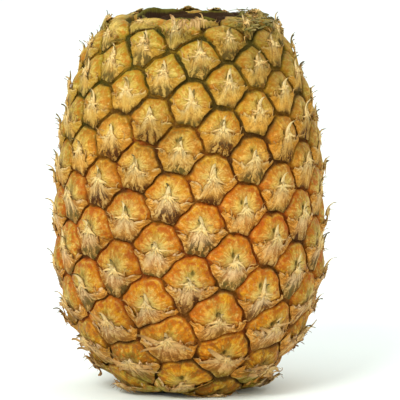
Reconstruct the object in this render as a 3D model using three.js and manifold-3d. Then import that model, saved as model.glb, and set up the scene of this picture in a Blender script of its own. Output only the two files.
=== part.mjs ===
// A ripe pineapple with its crown of leaves taken off, standing upright on its base.
//
// Millimetres, +Z up. The origin is at the middle of the base, on the surface that the fruit
// stands on. The skin is a lattice of eyes (fruitlets) set by the golden-angle rule that a
// pineapple grows by, so that 8, 13 and 21 rows wind round it. Each eye is a raised pad with a
// sunk groove round it, a papery bract over its lower half, and a spine up from the bract's lip.

import * as THREE from 'three';
import { ConvexHull } from 'three/addons/math/ConvexHull.js';
import { mergeVertices } from 'three/addons/utils/BufferGeometryUtils.js';
import Module from 'manifold-3d';

// ---------------------------------------------------------------- driving dimensions

// Outline of the eyes' tops, from the base up.
const BASE_RADIUS = 25.5;
const BELLY_RADIUS = 64.1;
const BELLY_HEIGHT = 67.5;
const SHOULDER_RADIUS = 40.2;
const SHOULDER_HEIGHT = 176.5;
const TOP_HEIGHT = 179.5;

// The lattice of eyes.
const EYE_WIDTH_AT_BASE = 27.4;
const EYE_WIDTH_AT_TOP = 19.1;
const DIVERGENCE = 137.377; // degrees round the axis from one eye to the next one up
const FACING_EYE_HEIGHT = 100.5; // of the eye numbered 0, from which the others are counted
const FACING_EYE_ANGLE = -99.05; // degrees from +X
const LOW_DRIFT = 0.6; // extra degrees for each eye in the lowest rows
const LOW_ROWS_BELOW = -45; // number of the eye under which the drift begins

// One eye.
const GROOVE_DEPTH = 3.3;
const PAD_EDGE = 0.86; // where the pad turns down, as a share of the way to the groove
const BRACT_LIFT = 1.5;
const BRACT_LIFT_LOW = 2.6; // the lowest eyes have the largest and loosest bracts
const SPINE_WIDTH = 0.13; // half width at its root, as a share of the eye
const SPINE_RISE = 3.1; // of its point over the lip

// What the crown and the plant left behind.
const CROWN_SOCKET_RADIUS = 27;
const CROWN_SOCKET_FLOOR = 167;
const CROWN_FLOOR_THICKNESS = 4.5;
const CROWN_TOP = 181.8;
const CROWN_CORE_RADIUS = 9;
const CROWN_CORE_TOP = 175;
const LEAF_BASES = 13;
const LEAF_BASE_THICKNESS = 2;
const LEAF_BASE_LEAN = 0.6;
const STALK_RADIUS = 13.6;
const STALK_LENGTH = 12;
const CLEARANCE = 0.3;

const SEED = 20417;

// ---------------------------------------------------------------- small helpers

const radians = THREE.MathUtils.degToRad;
const lerp = THREE.MathUtils.lerp;
const smoothstep = THREE.MathUtils.smoothstep;

// A seeded source of random numbers (mulberry32).
function seededRandom(seed) {
  let state = seed >>> 0;
  return () => {
    state = (state + 0x6d2b79f5) >>> 0;
    let mixed = Math.imul(state ^ (state >>> 15), state | 1);
    mixed ^= mixed + Math.imul(mixed ^ (mixed >>> 7), mixed | 61);
    return ((mixed ^ (mixed >>> 14)) >>> 0) / 4294967296;
  };
}

// Value at x of the broken line through (xs[i], ys[i]), with xs rising.
function interpolate(x, xs, ys) {
  let low = 0;
  let high = xs.length - 1;
  while (high - low > 1) {
    const middle = (low + high) >> 1;
    if (xs[middle] <= x) low = middle;
    else high = middle;
  }
  const share = THREE.MathUtils.clamp((x - xs[low]) / (xs[high] - xs[low]), 0, 1);
  return lerp(ys[low], ys[high], share);
}

// ---------------------------------------------------------------- the skin as a surface

// The outline, turned about the axis, as tables along its length: radius, height, the number of
// eyes passed, and the conformal latitude, which maps the skin to a sphere without shearing it.
class Skin {
  constructor() {
    const outline = new THREE.Path();
    outline.moveTo(0.01, 4);
    outline.bezierCurveTo(12, 4, 17, -4.7, BASE_RADIUS, 0);
    outline.bezierCurveTo(38.5, 2.6, BELLY_RADIUS, BELLY_HEIGHT - 36.8, BELLY_RADIUS, BELLY_HEIGHT);
    outline.bezierCurveTo(BELLY_RADIUS, BELLY_HEIGHT + 38, 64.5, 145.9, SHOULDER_RADIUS, SHOULDER_HEIGHT);
    outline.bezierCurveTo(37.2, TOP_HEIGHT + 0.7, 20, TOP_HEIGHT + 0.3, 0.01, TOP_HEIGHT - 1);
    const points = outline.getPoints(200);
    this.radius = points.map((point) => point.x);
    this.height = points.map((point) => point.y);
    this.length = [0];
    this.count = [0];
    this.latitude = [0];
    for (let i = 1; i < points.length; i += 1) {
      const step = points[i].distanceTo(points[i - 1]);
      const radius = (points[i].x + points[i - 1].x) / 2;
      const height = (points[i].y + points[i - 1].y) / 2;
      const share = THREE.MathUtils.clamp(height / 180, 0, 1);
      const width = lerp(EYE_WIDTH_AT_BASE, EYE_WIDTH_AT_TOP, share);
      const eyeArea = (Math.sqrt(3) / 2) * width * width;
      this.length.push(this.length[i - 1] + step);
      this.count.push(this.count[i - 1] + (2 * Math.PI * radius * step) / eyeArea);
      this.latitude.push(this.latitude[i - 1] + step / radius);
    }
    const belly = this.radius.indexOf(Math.max(...this.radius));
    const bellyLatitude = this.latitude[belly];
    this.latitude = this.latitude.map((latitude) => latitude - bellyLatitude);
    this.firstSide = this.radius.findIndex((radius, i) => this.height[i] >= 0 && radius > 20);
  }

  lengthAtHeight(height) {
    return interpolate(height, this.height.slice(this.firstSide), this.length.slice(this.firstSide));
  }

  // The direction on the unit sphere that stands for a place on the skin.
  direction(length, angle) {
    const latitude = interpolate(length, this.length, this.latitude);
    const flat = 1 / Math.cosh(latitude);
    return new THREE.Vector3(flat * Math.cos(angle), flat * Math.sin(angle), Math.tanh(latitude));
  }

  // The place on the skin that a direction stands for, raised along the skin's own normal.
  place(direction, raise) {
    const unit = direction.clone().normalize();
    const tanh = THREE.MathUtils.clamp(unit.z, -0.9999999, 0.9999999);
    const length = interpolate(Math.atanh(tanh), this.latitude, this.length);
    const reach = 0.8;
    const before = length - reach;
    const after = length + reach;
    const slopeR = interpolate(after, this.length, this.radius) - interpolate(before, this.length, this.radius);
    const slopeZ = interpolate(after, this.length, this.height) - interpolate(before, this.length, this.height);
    const scale = raise / Math.hypot(slopeR, slopeZ);
    const radius = interpolate(length, this.length, this.radius) + slopeZ * scale;
    const height = interpolate(length, this.length, this.height) - slopeR * scale;
    const angle = Math.atan2(unit.y, unit.x);
    return new THREE.Vector3(radius * Math.cos(angle), radius * Math.sin(angle), height);
  }
}

// ---------------------------------------------------------------- the lattice and its cells

// The eyes, one for each whole number of eyes passed along the skin, and a blank at each pole.
function latticeSites(skin) {
  const origin = interpolate(skin.lengthAtHeight(FACING_EYE_HEIGHT), skin.length, skin.count);
  const first = -Math.floor(origin);
  const last = Math.floor(skin.count[skin.count.length - 1] - origin);
  const sites = [];
  for (let number = first; number <= last; number += 1) {
    const length = interpolate(origin + number, skin.count, skin.length);
    const drift = LOW_DRIFT * Math.min(0, number - LOW_ROWS_BELOW);
    const angle = radians(FACING_EYE_ANGLE + DIVERGENCE * number + drift);
    const radius = interpolate(length, skin.length, skin.radius);
    const height = interpolate(length, skin.length, skin.height);
    sites.push({ number, radius, height, direction: skin.direction(length, angle) });
  }
  sites.push({ number: null, radius: 0, height: 0, direction: new THREE.Vector3(0, 0, -1) });
  sites.push({ number: null, radius: 0, height: TOP_HEIGHT, direction: new THREE.Vector3(0, 0, 1) });
  return sites;
}

// The border of each cell: its corners, which are where three cells meet, in order round the
// site, with a point halfway along each long side.
function cellBorders(sites) {
  const corners = new Map(sites.map((site) => [site.direction, []]));
  const hull = new ConvexHull().setFromPoints(sites.map((site) => site.direction));
  for (const face of hull.faces) {
    const corner = face.normal.clone().normalize();
    let edge = face.edge;
    do {
      corners.get(edge.head().point).push(corner);
      edge = edge.next;
    } while (edge !== face.edge);
  }
  const longSide = 0.12;
  return sites.map((site) => {
    const frame = tangentFrame(site.direction);
    const ring = corners.get(site.direction).sort((a, b) => bearing(a, frame) - bearing(b, frame));
    const border = [];
    ring.forEach((corner, i) => {
      const next = ring[(i + 1) % ring.length];
      border.push(corner);
      if (corner.distanceTo(next) > longSide) border.push(corner.clone().add(next).normalize());
    });
    return border;
  });
}

// Right and up along the skin at a direction, as seen from outside.
function tangentFrame(direction) {
  const right = new THREE.Vector3(-direction.y, direction.x, 0);
  if (right.length() < 1e-6) right.set(1, 0, 0);
  right.normalize();
  return { centre: direction, right, up: direction.clone().cross(right) };
}

function flatten(direction, frame) {
  const spread = 1 / direction.dot(frame.centre);
  return new THREE.Vector2(direction.dot(frame.right) * spread, direction.dot(frame.up) * spread);
}

function bearing(direction, frame) {
  return flatten(direction, frame).angle();
}

// ---------------------------------------------------------------- one eye

// Triangles between two rows of points that run the same way, on the side that faces out when
// the second row is on the left of the first.
function stitch(triangles, first, second) {
  let i = 0;
  let j = 0;
  while (i < first.length - 1 || j < second.length - 1) {
    const stepFirst = i < first.length - 1;
    const stepSecond = j < second.length - 1;
    const shareFirst = (i + 1) / (first.length - 1);
    const shareSecond = (j + 1) / (second.length - 1);
    if (stepFirst && (!stepSecond || shareFirst <= shareSecond)) {
      addTriangle(triangles, first[i], first[i + 1], second[j]);
      i += 1;
    } else {
      addTriangle(triangles, first[i], second[j + 1], second[j]);
      j += 1;
    }
  }
}

function addTriangle(triangles, a, b, c) {
  if (a !== b && b !== c && c !== a) triangles.push(a, b, c);
}

// Triangles between an outer and an inner closed ring, both counterclockwise from bearing 0,
// each given as points with their bearings.
function stitchRings(triangles, outer, inner) {
  const turn = 2 * Math.PI;
  let i = 0;
  let j = 0;
  while (i < outer.length || j < inner.length) {
    const a = outer[i % outer.length];
    const b = inner[j % inner.length];
    const nextA = outer[(i + 1) % outer.length];
    const nextB = inner[(j + 1) % inner.length];
    const bearingA = nextA.bearing + (i + 1 >= outer.length ? turn : 0);
    const bearingB = nextB.bearing + (j + 1 >= inner.length ? turn : 0);
    if (j >= inner.length || (i < outer.length && bearingA <= bearingB)) {
      addTriangle(triangles, a.point, nextA.point, b.point);
      i += 1;
    } else {
      addTriangle(triangles, a.point, nextB.point, b.point);
      j += 1;
    }
  }
}

// The skin of one eye. Its own places are given on a disc of radius 1 that stands for the cell,
// with x to the right and y up; a height is in millimetres over the outline.
class Eye {
  constructor(skin, site, border, random) {
    this.skin = skin;
    this.frame = tangentFrame(site.direction);
    this.border = border.map((direction) => {
      const flat = flatten(direction, this.frame);
      return { bearing: flat.angle(), flat, point: skin.place(direction, -GROOVE_DEPTH) };
    });
    this.border.sort((a, b) => a.bearing - b.bearing);
    const low = 1 - smoothstep(site.height, 12, 60);
    const high = smoothstep(site.height, 150, 175);
    this.padTop = lerp(-0.3, 0.5, random());
    this.lift = lerp(BRACT_LIFT, BRACT_LIFT_LOW, low) * lerp(0.8, 1.25, random());
    this.spineRise = SPINE_RISE * lerp(0.75, 1.25, random()) * lerp(1, 1.2, high);
    this.spineReach = lerp(0.42, 0.7, random()) * lerp(1, 0.7, Math.max(low, high));
    this.spineLean = lerp(-0.14, 0.14, random());
    this.shoulder = lerp(0.48, 0.6, low) * lerp(0.9, 1.1, random());
    this.lipHeight = lerp(-0.1, 0.04, random());
  }

  // Distance from the cell's middle to its border, towards a bearing.
  reach(towards) {
    const ray = new THREE.Vector2(Math.cos(towards), Math.sin(towards));
    for (let i = 0; i < this.border.length; i += 1) {
      const a = this.border[i].flat;
      const b = this.border[(i + 1) % this.border.length].flat;
      const side = b.clone().sub(a);
      const cross = ray.cross(side);
      const along = a.cross(side) / cross;
      const share = a.cross(ray) / cross;
      if (along > 0 && share >= -1e-6 && share <= 1 + 1e-6) return along;
    }
    return this.border[0].flat.length();
  }

  point(x, y, height) {
    const towards = Math.atan2(y, x);
    const out = Math.hypot(x, y) * this.reach(towards);
    const { centre, right, up } = this.frame;
    const direction = centre.clone();
    direction.addScaledVector(right, out * Math.cos(towards));
    direction.addScaledVector(up, out * Math.sin(towards));
    return this.skin.place(direction, height);
  }

  // Twelve points where the pad turns down: high at the arched upper side, and lower towards the
  // bottom corner, where the bract comes out of the groove.
  edgeRing() {
    const ring = [];
    for (let hour = 0; hour < 12; hour += 1) {
      const towards = (hour * Math.PI) / 6;
      const drop = lerp(0.26, 0.5, (1 - Math.sin(towards)) / 2) * GROOVE_DEPTH;
      const x = PAD_EDGE * Math.cos(towards);
      const y = PAD_EDGE * Math.sin(towards);
      ring.push({ bearing: towards, point: this.point(x, y, -drop) });
    }
    return ring;
  }

  // Adds the eye's triangles, with the bract and the spine.
  build(triangles) {
    const ring = this.edgeRing();
    stitchRings(triangles, this.border, ring);
    const edge = ring.map((entry) => entry.point);
    const left = edge[6];
    const right = edge[0];
    const lowerEdge = [...edge.slice(6), right];
    const upperEdge = [left, edge[5], edge[4], edge[3], edge[2], edge[1], right];

    const lift = this.lift;
    const wide = this.shoulder;
    const lip = this.lipHeight;
    const body = [left, this.point(-0.4, -0.46, lift * 0.35), this.point(0, -0.42, lift * 0.75),
      this.point(0.4, -0.46, lift * 0.35), right];
    const lipLeft = this.point(-wide, lip - 0.12, lift * 0.8);
    const lipRight = this.point(wide, lip - 0.12, lift * 0.8);
    const rootLeft = this.point(-SPINE_WIDTH, lip, lift * 1.1);
    const rootRight = this.point(SPINE_WIDTH, lip, lift * 1.1);
    stitch(triangles, lowerEdge, body);
    stitch(triangles, body, [left, lipLeft, rootLeft, rootRight, lipRight, right]);

    const footLeft = this.point(-wide, lip - 0.04, this.padTop - 0.2);
    const footRight = this.point(wide, lip - 0.04, this.padTop - 0.2);
    const rootUnder = this.point(0, lip + 0.13, this.padTop - 0.5);
    stitch(triangles, [left, lipLeft, rootLeft], [left, footLeft, rootUnder]);
    stitch(triangles, [rootRight, lipRight, right], [rootUnder, footRight, right]);
    this.buildSpine(triangles, [rootLeft, rootRight, rootUnder]);

    const crest = [left, this.point(-0.46, 0.34, this.padTop), this.point(0, 0.5, this.padTop + 0.3),
      this.point(0.46, 0.34, this.padTop), right];
    stitch(triangles, [left, footLeft, rootUnder, footRight, right], crest);
    stitch(triangles, crest, upperEdge);
  }

  // A three-sided spine with one bend, from its root to a point that stands off the pad.
  buildSpine(triangles, root) {
    const half = SPINE_WIDTH * 0.55;
    const bendAt = this.lipHeight + this.spineReach * 0.5;
    const bendX = this.spineLean * 0.4;
    const bend = [
      this.point(bendX - half, bendAt, this.lift + this.spineRise * 0.42),
      this.point(bendX + half, bendAt, this.lift + this.spineRise * 0.42),
      this.point(bendX, bendAt + 0.04, this.lift + this.spineRise * 0.42 - 1.5),
    ];
    const tip = this.point(this.spineLean, this.lipHeight + this.spineReach, this.lift + this.spineRise);
    for (let side = 0; side < 3; side += 1) {
      const next = (side + 1) % 3;
      addTriangle(triangles, root[side], root[next], bend[side]);
      addTriangle(triangles, root[next], bend[next], bend[side]);
      addTriangle(triangles, bend[side], bend[next], tip);
    }
  }
}

// A cell with no eye in it, closed by plain triangles at the depth of the grooves.
function buildBlankCell(triangles, skin, site, border) {
  const middle = skin.place(site.direction, -GROOVE_DEPTH);
  border.forEach((direction, i) => {
    const next = border[(i + 1) % border.length];
    triangles.push(skin.place(direction, -GROOVE_DEPTH), skin.place(next, -GROOVE_DEPTH), middle);
  });
}

// ---------------------------------------------------------------- solids and boolean work

const library = await Module();
library.setup();

function geometryFromTriangles(points) {
  const geometry = new THREE.BufferGeometry().setFromPoints(points);
  return mergeVertices(geometry, 1e-4);
}

function toSolid(geometry) {
  const bare = geometry.clone();
  bare.deleteAttribute('normal');
  bare.deleteAttribute('uv');
  const merged = mergeVertices(bare, 1e-4);
  const triVerts = [];
  const index = merged.index.array;
  for (let i = 0; i < index.length; i += 3) {
    const [a, b, c] = [index[i], index[i + 1], index[i + 2]];
    if (a !== b && b !== c && c !== a) triVerts.push(a, b, c);
  }
  return new library.Manifold(new library.Mesh({
    numProp: 3,
    vertProperties: new Float32Array(merged.attributes.position.array),
    triVerts: new Uint32Array(triVerts),
  }));
}

function toMesh(name, solid, material) {
  const mesh = solid.getMesh();
  const geometry = new THREE.BufferGeometry();
  geometry.setAttribute('position', new THREE.BufferAttribute(mesh.vertProperties, 3));
  geometry.setIndex(new THREE.BufferAttribute(mesh.triVerts, 1));
  geometry.computeVertexNormals();
  const part = new THREE.Mesh(geometry, material);
  part.name = name;
  return part;
}

// A solid turned about Z from an outline of [radius, height] pairs that starts and ends on it.
function turned(outline, sides) {
  const geometry = new THREE.LatheGeometry(outline.map(([r, z]) => new THREE.Vector2(r, z)), sides);
  return toSolid(geometry.rotateX(Math.PI / 2));
}

// Everything under the surface that the fruit stands on.
function underground() {
  const depth = 20;
  const slab = new THREE.BoxGeometry(4 * BELLY_RADIUS, 4 * BELLY_RADIUS, depth);
  return toSolid(slab.translate(0, 0, -depth / 2));
}

// ---------------------------------------------------------------- the pieces

function buildFruit() {
  const skin = new Skin();
  const sites = latticeSites(skin);
  const borders = cellBorders(sites);
  const random = seededRandom(SEED);
  const triangles = [];
  sites.forEach((site, i) => {
    const isTop = site.height > BELLY_HEIGHT;
    const blankInside = isTop ? CROWN_SOCKET_RADIUS - 3 : STALK_RADIUS;
    if (site.radius < blankInside) {
      buildBlankCell(triangles, skin, site, borders[i]);
    } else {
      new Eye(skin, site, borders[i], random).build(triangles);
    }
  });
  const crownSocket = turned([[0, CROWN_SOCKET_FLOOR], [CROWN_SOCKET_RADIUS, CROWN_SOCKET_FLOOR],
    [CROWN_SOCKET_RADIUS, TOP_HEIGHT + 20], [0, TOP_HEIGHT + 20]], 36);
  const stalkSocket = turned([[0, -20], [STALK_RADIUS + CLEARANCE, -20],
    [STALK_RADIUS + CLEARANCE, STALK_LENGTH - 2], [STALK_RADIUS - 3, STALK_LENGTH + CLEARANCE],
    [0, STALK_LENGTH + CLEARANCE]], 28);
  return toSolid(geometryFromTriangles(triangles))
    .subtract(underground())
    .subtract(crownSocket)
    .subtract(stalkSocket);
}

// One cut leaf base: a sheet curved about the axis, thickest in its middle, with a ragged cut.
function leafBase(radius, angle, halfSpread, top, random) {
  const across = 6;
  const upward = 2;
  const bottom = CROWN_SOCKET_FLOOR + CROWN_FLOOR_THICKNESS - 2;
  const phase = random() * 2 * Math.PI;
  const sheet = (face, i, j) => {
    const share = (i / across) * 2 - 1;
    const rise = j / upward;
    const cut = top - 2.4 * share * share + 0.6 * Math.sin(2.6 * i + phase);
    const thickness = LEAF_BASE_THICKNESS * (1 - 0.55 * share * share) * lerp(1, 0.7, rise);
    const lean = LEAF_BASE_LEAN * rise * rise;
    const out = radius + lean + face * (thickness / 2);
    const turn = angle + share * halfSpread;
    return new THREE.Vector3(out * Math.cos(turn), out * Math.sin(turn), lerp(bottom, cut, rise));
  };
  const triangles = [];
  const quad = (a, b, c, d) => triangles.push(a, b, c, a, c, d);
  for (let i = 0; i < across; i += 1) {
    for (let j = 0; j < upward; j += 1) {
      quad(sheet(1, i, j), sheet(1, i + 1, j), sheet(1, i + 1, j + 1), sheet(1, i, j + 1));
      quad(sheet(-1, i, j), sheet(-1, i, j + 1), sheet(-1, i + 1, j + 1), sheet(-1, i + 1, j));
    }
    quad(sheet(1, i, 0), sheet(-1, i, 0), sheet(-1, i + 1, 0), sheet(1, i + 1, 0));
    quad(sheet(1, i, upward), sheet(1, i + 1, upward), sheet(-1, i + 1, upward), sheet(-1, i, upward));
  }
  for (let j = 0; j < upward; j += 1) {
    quad(sheet(1, 0, j), sheet(1, 0, j + 1), sheet(-1, 0, j + 1), sheet(-1, 0, j));
    quad(sheet(1, across, j), sheet(-1, across, j), sheet(-1, across, j + 1), sheet(1, across, j + 1));
  }
  return toSolid(geometryFromTriangles(triangles));
}

// What is left of the crown: a core with the cut bases of its leaves wound round it.
function buildCrownStub() {
  const random = seededRandom(SEED + 1);
  const plugRadius = CROWN_SOCKET_RADIUS - CLEARANCE;
  const floor = CROWN_SOCKET_FLOOR + CLEARANCE;
  const craterFloor = CROWN_SOCKET_FLOOR + CROWN_FLOOR_THICKNESS;
  let stub = turned([[0, floor], [plugRadius, floor], [plugRadius, craterFloor],
    [CROWN_CORE_RADIUS + 2, craterFloor], [CROWN_CORE_RADIUS, CROWN_CORE_TOP - 0.8],
    [0, CROWN_CORE_TOP]], 30);
  const outermost = plugRadius - LEAF_BASE_THICKNESS / 2 - LEAF_BASE_LEAN - 0.05;
  for (let leaf = 0; leaf < LEAF_BASES; leaf += 1) {
    const inward = leaf / (LEAF_BASES - 1);
    const radius = lerp(outermost, CROWN_CORE_RADIUS + 3, inward);
    const angle = radians(DIVERGENCE * leaf);
    const halfSpread = lerp(0.75, 1, inward);
    const top = CROWN_TOP - 1.2 * random() - 5 * inward * inward;
    stub = stub.add(leafBase(radius, angle, halfSpread, top, random));
  }
  return stub;
}

// The cut end of the stalk that the fruit grew on, sunk in the base and flush with it.
function buildStalkStub() {
  const sides = 28;
  const ribs = 7;
  const outline = [[0, 0], [STALK_RADIUS - 0.9, 0], [STALK_RADIUS, 1], [STALK_RADIUS, STALK_LENGTH - 3],
    [STALK_RADIUS - 4, STALK_LENGTH], [0, STALK_LENGTH]];
  const points = outline.map(([r, z]) => new THREE.Vector2(r, z));
  const geometry = new THREE.LatheGeometry(points, sides).rotateX(Math.PI / 2);
  const position = geometry.attributes.position;
  for (let i = 0; i < position.count; i += 1) {
    const angle = Math.atan2(position.getY(i), position.getX(i));
    const shrink = 1 - 0.03 * (1 + Math.cos(ribs * angle)) / 2;
    position.setXY(i, position.getX(i) * shrink, position.getY(i) * shrink);
  }
  return toSolid(geometry);
}

// ---------------------------------------------------------------- the pineapple

const skinColour = new THREE.MeshStandardMaterial({ color: '#c98a2e', roughness: 0.5, metalness: 0 });
const crownColour = new THREE.MeshStandardMaterial({ color: '#6d6b2c', roughness: 0.6, metalness: 0 });
const stalkColour = new THREE.MeshStandardMaterial({ color: '#b79a63', roughness: 0.8, metalness: 0 });

const pineapple = new THREE.Group();
pineapple.add(toMesh('fruit', buildFruit(), skinColour));
pineapple.add(toMesh('crown_stub', buildCrownStub(), crownColour));
pineapple.add(toMesh('stalk_stub', buildStalkStub(), stalkColour));

export default pineapple;
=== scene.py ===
"""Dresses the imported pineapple: its rind of eyes, papery bracts, spines, crown stub and stalk.

Everything is in metres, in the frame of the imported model: +Z up, standing at the origin, with
the side that faces the camera at -Y. The eyes are set on the skin by the golden-angle rule that
the solids follow, so each finer piece lies where its solid is.
"""

from __future__ import annotations

import logging
import math
from dataclasses import dataclass, field
from enum import Enum
from typing import Any, Iterator

import bmesh
import bpy
import numpy as np
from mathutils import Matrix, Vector


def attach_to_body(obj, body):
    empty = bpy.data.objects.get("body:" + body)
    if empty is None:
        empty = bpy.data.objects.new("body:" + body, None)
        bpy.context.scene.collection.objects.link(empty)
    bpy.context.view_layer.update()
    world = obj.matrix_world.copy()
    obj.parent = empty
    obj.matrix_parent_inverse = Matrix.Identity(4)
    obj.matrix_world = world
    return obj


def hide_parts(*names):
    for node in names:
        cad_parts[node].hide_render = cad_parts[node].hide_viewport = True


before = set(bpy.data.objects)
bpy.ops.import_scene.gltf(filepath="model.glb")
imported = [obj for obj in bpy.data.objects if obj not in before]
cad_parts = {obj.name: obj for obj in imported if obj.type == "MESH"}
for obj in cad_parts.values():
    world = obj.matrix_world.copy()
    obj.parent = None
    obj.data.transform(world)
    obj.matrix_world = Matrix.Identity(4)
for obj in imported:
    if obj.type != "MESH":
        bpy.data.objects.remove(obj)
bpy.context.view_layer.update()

MM = 0.001
BODY = "root"
SEED = 20417
TURN = 2 * math.pi

logging.basicConfig(level=logging.INFO, format="%(message)s")
log = logging.getLogger("pineapple")

Array = np.ndarray
Axes = tuple[Array, Array, Array]
Colour = tuple[float, float, float, float]
Draw = np.random.Generator
Object = bpy.types.Object
Material = bpy.types.Material
Range = tuple[float, float]
Tree = bpy.types.NodeTree
Wave = tuple[int, float, float]


def srgb(code: str) -> Colour:
    """Turns a colour as painters write it into the linear values that shaders use.

    Args:
        code: Six hexadecimal digits, red first.

    Returns:
        Linear red, green, blue and an alpha of 1.
    """
    channels = [int(code[i : i + 2], 16) / 255 for i in (0, 2, 4)]
    linear = [c / 12.92 if c <= 0.04045 else ((c + 0.055) / 1.055) ** 2.4 for c in channels]
    return (linear[0], linear[1], linear[2], 1.0)


def smoothstep(value: Array, low: float, high: float) -> Array:
    """Rises smoothly from 0 at low to 1 at high."""
    share = np.clip((np.asarray(value, float) - low) / (high - low), 0.0, 1.0)
    return share * share * (3.0 - 2.0 * share)


def bell(away: Array, width: Any, power: float = 2) -> Array:
    """Falls from 1 at no distance towards 0 beyond a width."""
    return np.exp(-((away / width) ** power))


def between(start: Any, end: Any, share: Any) -> Any:
    """Goes from start to end as share goes from 0 to 1."""
    return start + (end - start) * share


def polar(radius: Any, angle: Array, *height: Array) -> Array:
    """Places at a radius and an angle, and at a height where one is given."""
    return np.stack([radius * np.cos(angle), radius * np.sin(angle), *height], -1)


def waves(at: Array, phase: float, *terms: Wave) -> Array:
    """Adds up sines, each with its rate, its share of the phase and its size."""
    return sum(size * np.sin(rate * at + shift * phase) for rate, shift, size in terms)


def quads(a: Array, b: Array, c: Array, d: Array) -> Array:
    """Gives two triangles for each row of four corners, which go round counterclockwise."""
    return np.vstack([np.stack([a, b, c], -1), np.stack([a, c, d], -1)])


def placed(name: str, data: Any) -> Object:
    """Makes an object of some data and puts it in the scene."""
    thing = bpy.data.objects.new(name, data)
    bpy.context.scene.collection.objects.link(thing)
    return thing


def mesh_of(name: str, shape: bmesh.types.BMesh) -> bpy.types.Mesh:
    """Turns a shape that was built face by face into a mesh, and frees it.

    Args:
        name: Its name.
        shape: The shape, which is no use afterwards.

    Returns:
        The mesh.
    """
    data = bpy.data.meshes.new(name)
    shape.to_mesh(data)
    shape.free()
    return data


# ---------------------------------------------------------------- the skin and its lattice


@dataclass(frozen=True)
class Outline:
    """The outline of the eyes' tops from the base up, in millimetres."""

    base_radius: float = 25.5
    belly_radius: float = 64.1
    belly_height: float = 67.5
    shoulder_radius: float = 40.2
    shoulder_height: float = 176.5
    top_height: float = 179.5
    steps: int = 200

    def points(self) -> Array:
        """Gives the outline as rows of radius and height.

        Returns:
            The rows, from the axis at the base to the axis at the top.
        """
        belly = (self.belly_radius, self.belly_height)
        shoulder = (self.shoulder_radius, self.shoulder_height)
        top = self.top_height
        pieces = [
            ((0.01, 4.0), (12.0, 4.0), (17.0, -4.7), (self.base_radius, 0.0)),
            ((self.base_radius, 0.0), (38.5, 2.6), (belly[0], belly[1] - 36.8), belly),
            (belly, (belly[0], belly[1] + 38.0), (64.5, 145.9), shoulder),
            (shoulder, (37.2, top + 0.7), (20.0, top + 0.3), (0.01, top - 1.0)),
        ]
        curves = [self._bezier(*piece) for piece in pieces]
        return np.vstack([curves[0]] + [curve[1:] for curve in curves[1:]])

    def _bezier(self, *corners: Range) -> Array:
        """Samples one cubic curve."""
        t = np.linspace(0.0, 1.0, self.steps + 1)[:, None]
        a, b, c, d = (np.array(point, float) for point in corners)
        return (1 - t) ** 3 * a + 3 * (1 - t) ** 2 * t * b + 3 * (1 - t) * t * t * c + t**3 * d


@dataclass(frozen=True)
class LatticeRule:
    """How the eyes follow each other round the fruit; widths are in millimetres."""

    eye_width_at_base: float = 27.4
    eye_width_at_top: float = 19.1
    width_span: float = 180.0
    divergence: float = 137.377
    facing_height: float = 100.5
    facing_angle: float = -99.05
    low_drift: float = 0.6
    low_rows_below: int = -45


class Skin:
    """The outline turned about the axis, with a conformal map to a sphere."""

    NORMAL_REACH = 0.8

    def __init__(self, outline: Outline, rule: LatticeRule) -> None:
        """Tabulates length, count of eyes passed and conformal latitude along the outline.

        Args:
            outline: The outline of the body.
            rule: The rule for the size of the eyes.
        """
        points = outline.points()
        steps = np.diff(points, axis=0)
        lengths = np.hypot(steps[:, 0], steps[:, 1])
        middles = (points[1:] + points[:-1]) / 2
        share = np.clip(middles[:, 1] / rule.width_span, 0.0, 1.0)
        width = between(rule.eye_width_at_base, rule.eye_width_at_top, share)
        area = math.sqrt(3) / 2 * width**2
        self.radius, self.height = points[:, 0], points[:, 1]
        self.length = np.concatenate([[0.0], np.cumsum(lengths)])
        self.count = np.concatenate([[0.0], np.cumsum(2 * np.pi * middles[:, 0] * lengths / area)])
        latitude = np.concatenate([[0.0], np.cumsum(lengths / middles[:, 0])])
        self.latitude = latitude - latitude[int(np.argmax(self.radius))]
        self.side_starts = int(np.argmax((self.height >= 0) & (self.radius > 20)))

    def length_at_height(self, height: float) -> float:
        """Length along the outline where its side reaches a height."""
        first = self.side_starts
        return float(np.interp(height, self.height[first:], self.length[first:]))

    def directions(self, length: Array, angle: Array) -> Array:
        """Unit vectors that stand for places on the skin."""
        latitude = np.interp(length, self.length, self.latitude)
        return polar(1 / np.cosh(latitude), angle, np.tanh(latitude))

    def lengths_of(self, directions: Array) -> Array:
        """Length along the outline of the places that unit vectors stand for."""
        latitude = np.arctanh(np.clip(directions[..., 2], -0.9999999, 0.9999999))
        return np.interp(latitude, self.latitude, self.length)

    def place(self, directions: Array, lift: Array) -> Array:
        """Finds points over the skin.

        Args:
            directions: Vectors that stand for the places, of any length.
            lift: Heights over the skin along its normal, in millimetres.

        Returns:
            Points in millimetres.
        """
        unit = directions / np.linalg.norm(directions, axis=-1, keepdims=True)
        length = self.lengths_of(unit)
        normal = self.normals_in_section(length)
        radius = np.interp(length, self.length, self.radius) + normal[..., 0] * lift
        height = np.interp(length, self.length, self.height) + normal[..., 1] * lift
        return polar(radius, np.arctan2(unit[..., 1], unit[..., 0]), height)

    def normals_in_section(self, length: Array) -> Array:
        """Outward normals in the plane of radius and height.

        Args:
            length: Lengths along the outline, in millimetres.

        Returns:
            Rows of radius and height, of length 1.
        """
        after, before = length + self.NORMAL_REACH, length - self.NORMAL_REACH
        rise_r, rise_z = (
            np.interp(after, self.length, row) - np.interp(before, self.length, row)
            for row in (self.radius, self.height)
        )
        size = np.hypot(rise_r, rise_z)
        return np.stack([rise_z / size, -rise_r / size], -1)


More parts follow.
